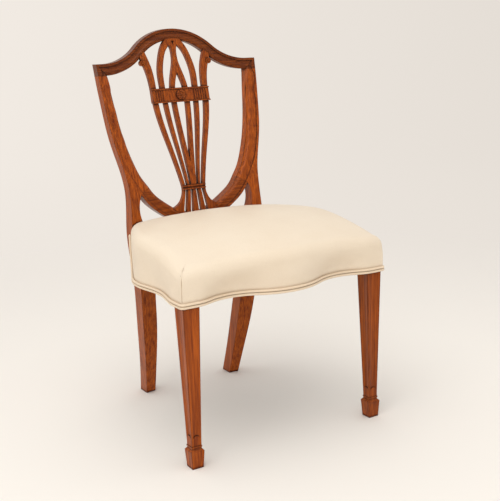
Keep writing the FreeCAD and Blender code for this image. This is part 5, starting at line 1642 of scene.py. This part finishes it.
def place_camera(lens):
    """Camera at the height and angle that the chair is seen from."""
    level_ahead = Vector((math.sin(CAMERA_YAW), math.cos(CAMERA_YAW), 0))
    level_right = Vector((math.cos(CAMERA_YAW), -math.sin(CAMERA_YAW), 0))
    ahead = level_ahead * math.cos(CAMERA_PITCH) - Vector((0, 0, math.sin(CAMERA_PITCH)))
    level_up = level_right.cross(ahead)
    right = level_right * math.cos(CAMERA_ROLL) + level_up * math.sin(CAMERA_ROLL)
    up = level_up * math.cos(CAMERA_ROLL) - level_right * math.sin(CAMERA_ROLL)
    axes = Matrix((right, up, -ahead)).transposed().to_4x4()
    data = bpy.data.cameras.new("studio_camera")
    data.lens = lens
    data.sensor_width = 36.0
    data.sensor_fit = "AUTO"
    camera = bpy.data.objects.new("studio_camera", data)
    camera.matrix_world = Matrix.Translation(CAMERA_PLACE) @ axes
    bpy.context.scene.collection.objects.link(camera)
    bpy.context.scene.camera = camera


class CHAIR_OT_set_studio(bpy.types.Operator):
    """Sets the floor, lamps and camera"""

    bl_idname = "chair.set_studio"
    bl_label = "Set studio"

    def execute(self, context):
        studio = context.scene.chair_studio
        context.scene.view_settings.view_transform = "Standard"
        studio_bowl(floor_material(studio))
        studio_world(studio)
        lamp(
            "key_lamp", studio.key_power, place=(-1.0, -1.0, 3.0), target=(0.0, 0.0, 0.3),
            size=3.0, colour=(1.0, 0.97, 0.93)
        )
        lamp(
            "fill_lamp", studio.fill_power, place=(-2.6, -2.2, 1.5), target=(0.0, 0.0, 0.4),
            size=1.8, colour=(1.0, 0.98, 0.96)
        )
        place_camera(studio.lens)
        return {"FINISHED"}


# Panel, registration and the run

STEPS = [
    CHAIR_OT_polish_mahogany,
    CHAIR_OT_plane_beech,
    CHAIR_OT_finish_steel,
    CHAIR_OT_make_stuffing,
    CHAIR_OT_make_lining,
    CHAIR_OT_make_cover,
    CHAIR_OT_make_piping,
    CHAIR_OT_weave_webbing,
    CHAIR_OT_lay_hessian,
    CHAIR_OT_tack_dust_cover,
    CHAIR_OT_set_studio,
]

SETTINGS = {
    "chair_wood": ChairWoodSettings,
    "chair_seat": ChairSeatSettings,
    "chair_support": ChairSupportSettings,
    "chair_studio": ChairStudioSettings,
}


class CHAIR_PT_pieces(bpy.types.Panel):
    """Lists the pieces of the chair and their settings"""

    bl_label = "Shield back chair"
    bl_idname = "CHAIR_PT_pieces"
    bl_space_type = "VIEW_3D"
    bl_region_type = "UI"
    bl_category = "Chair"

    def draw(self, context):
        for step in STEPS:
            self.layout.operator(step.bl_idname)
        for name, group in SETTINGS.items():
            box = self.layout.box()
            box.label(text=group.__doc__)
            for key in group.__annotations__:
                box.prop(getattr(context.scene, name), key)


def register():
    for group in SETTINGS.values():
        bpy.utils.register_class(group)
    for name, group in SETTINGS.items():
        setattr(bpy.types.Scene, name, PointerProperty(type=group))
    for step in STEPS:
        bpy.utils.register_class(step)
    bpy.utils.register_class(CHAIR_PT_pieces)


def unregister():
    bpy.utils.unregister_class(CHAIR_PT_pieces)
    for step in reversed(STEPS):
        bpy.utils.unregister_class(step)
    for name, group in reversed(SETTINGS.items()):
        delattr(bpy.types.Scene, name)
        bpy.utils.unregister_class(group)


def main():
    """Builds everything in order."""
    register()
    for step in STEPS:
        category, name = step.bl_idname.split(".")
        getattr(getattr(bpy.ops, category), name)()


if __name__ == "__main__":
    main()
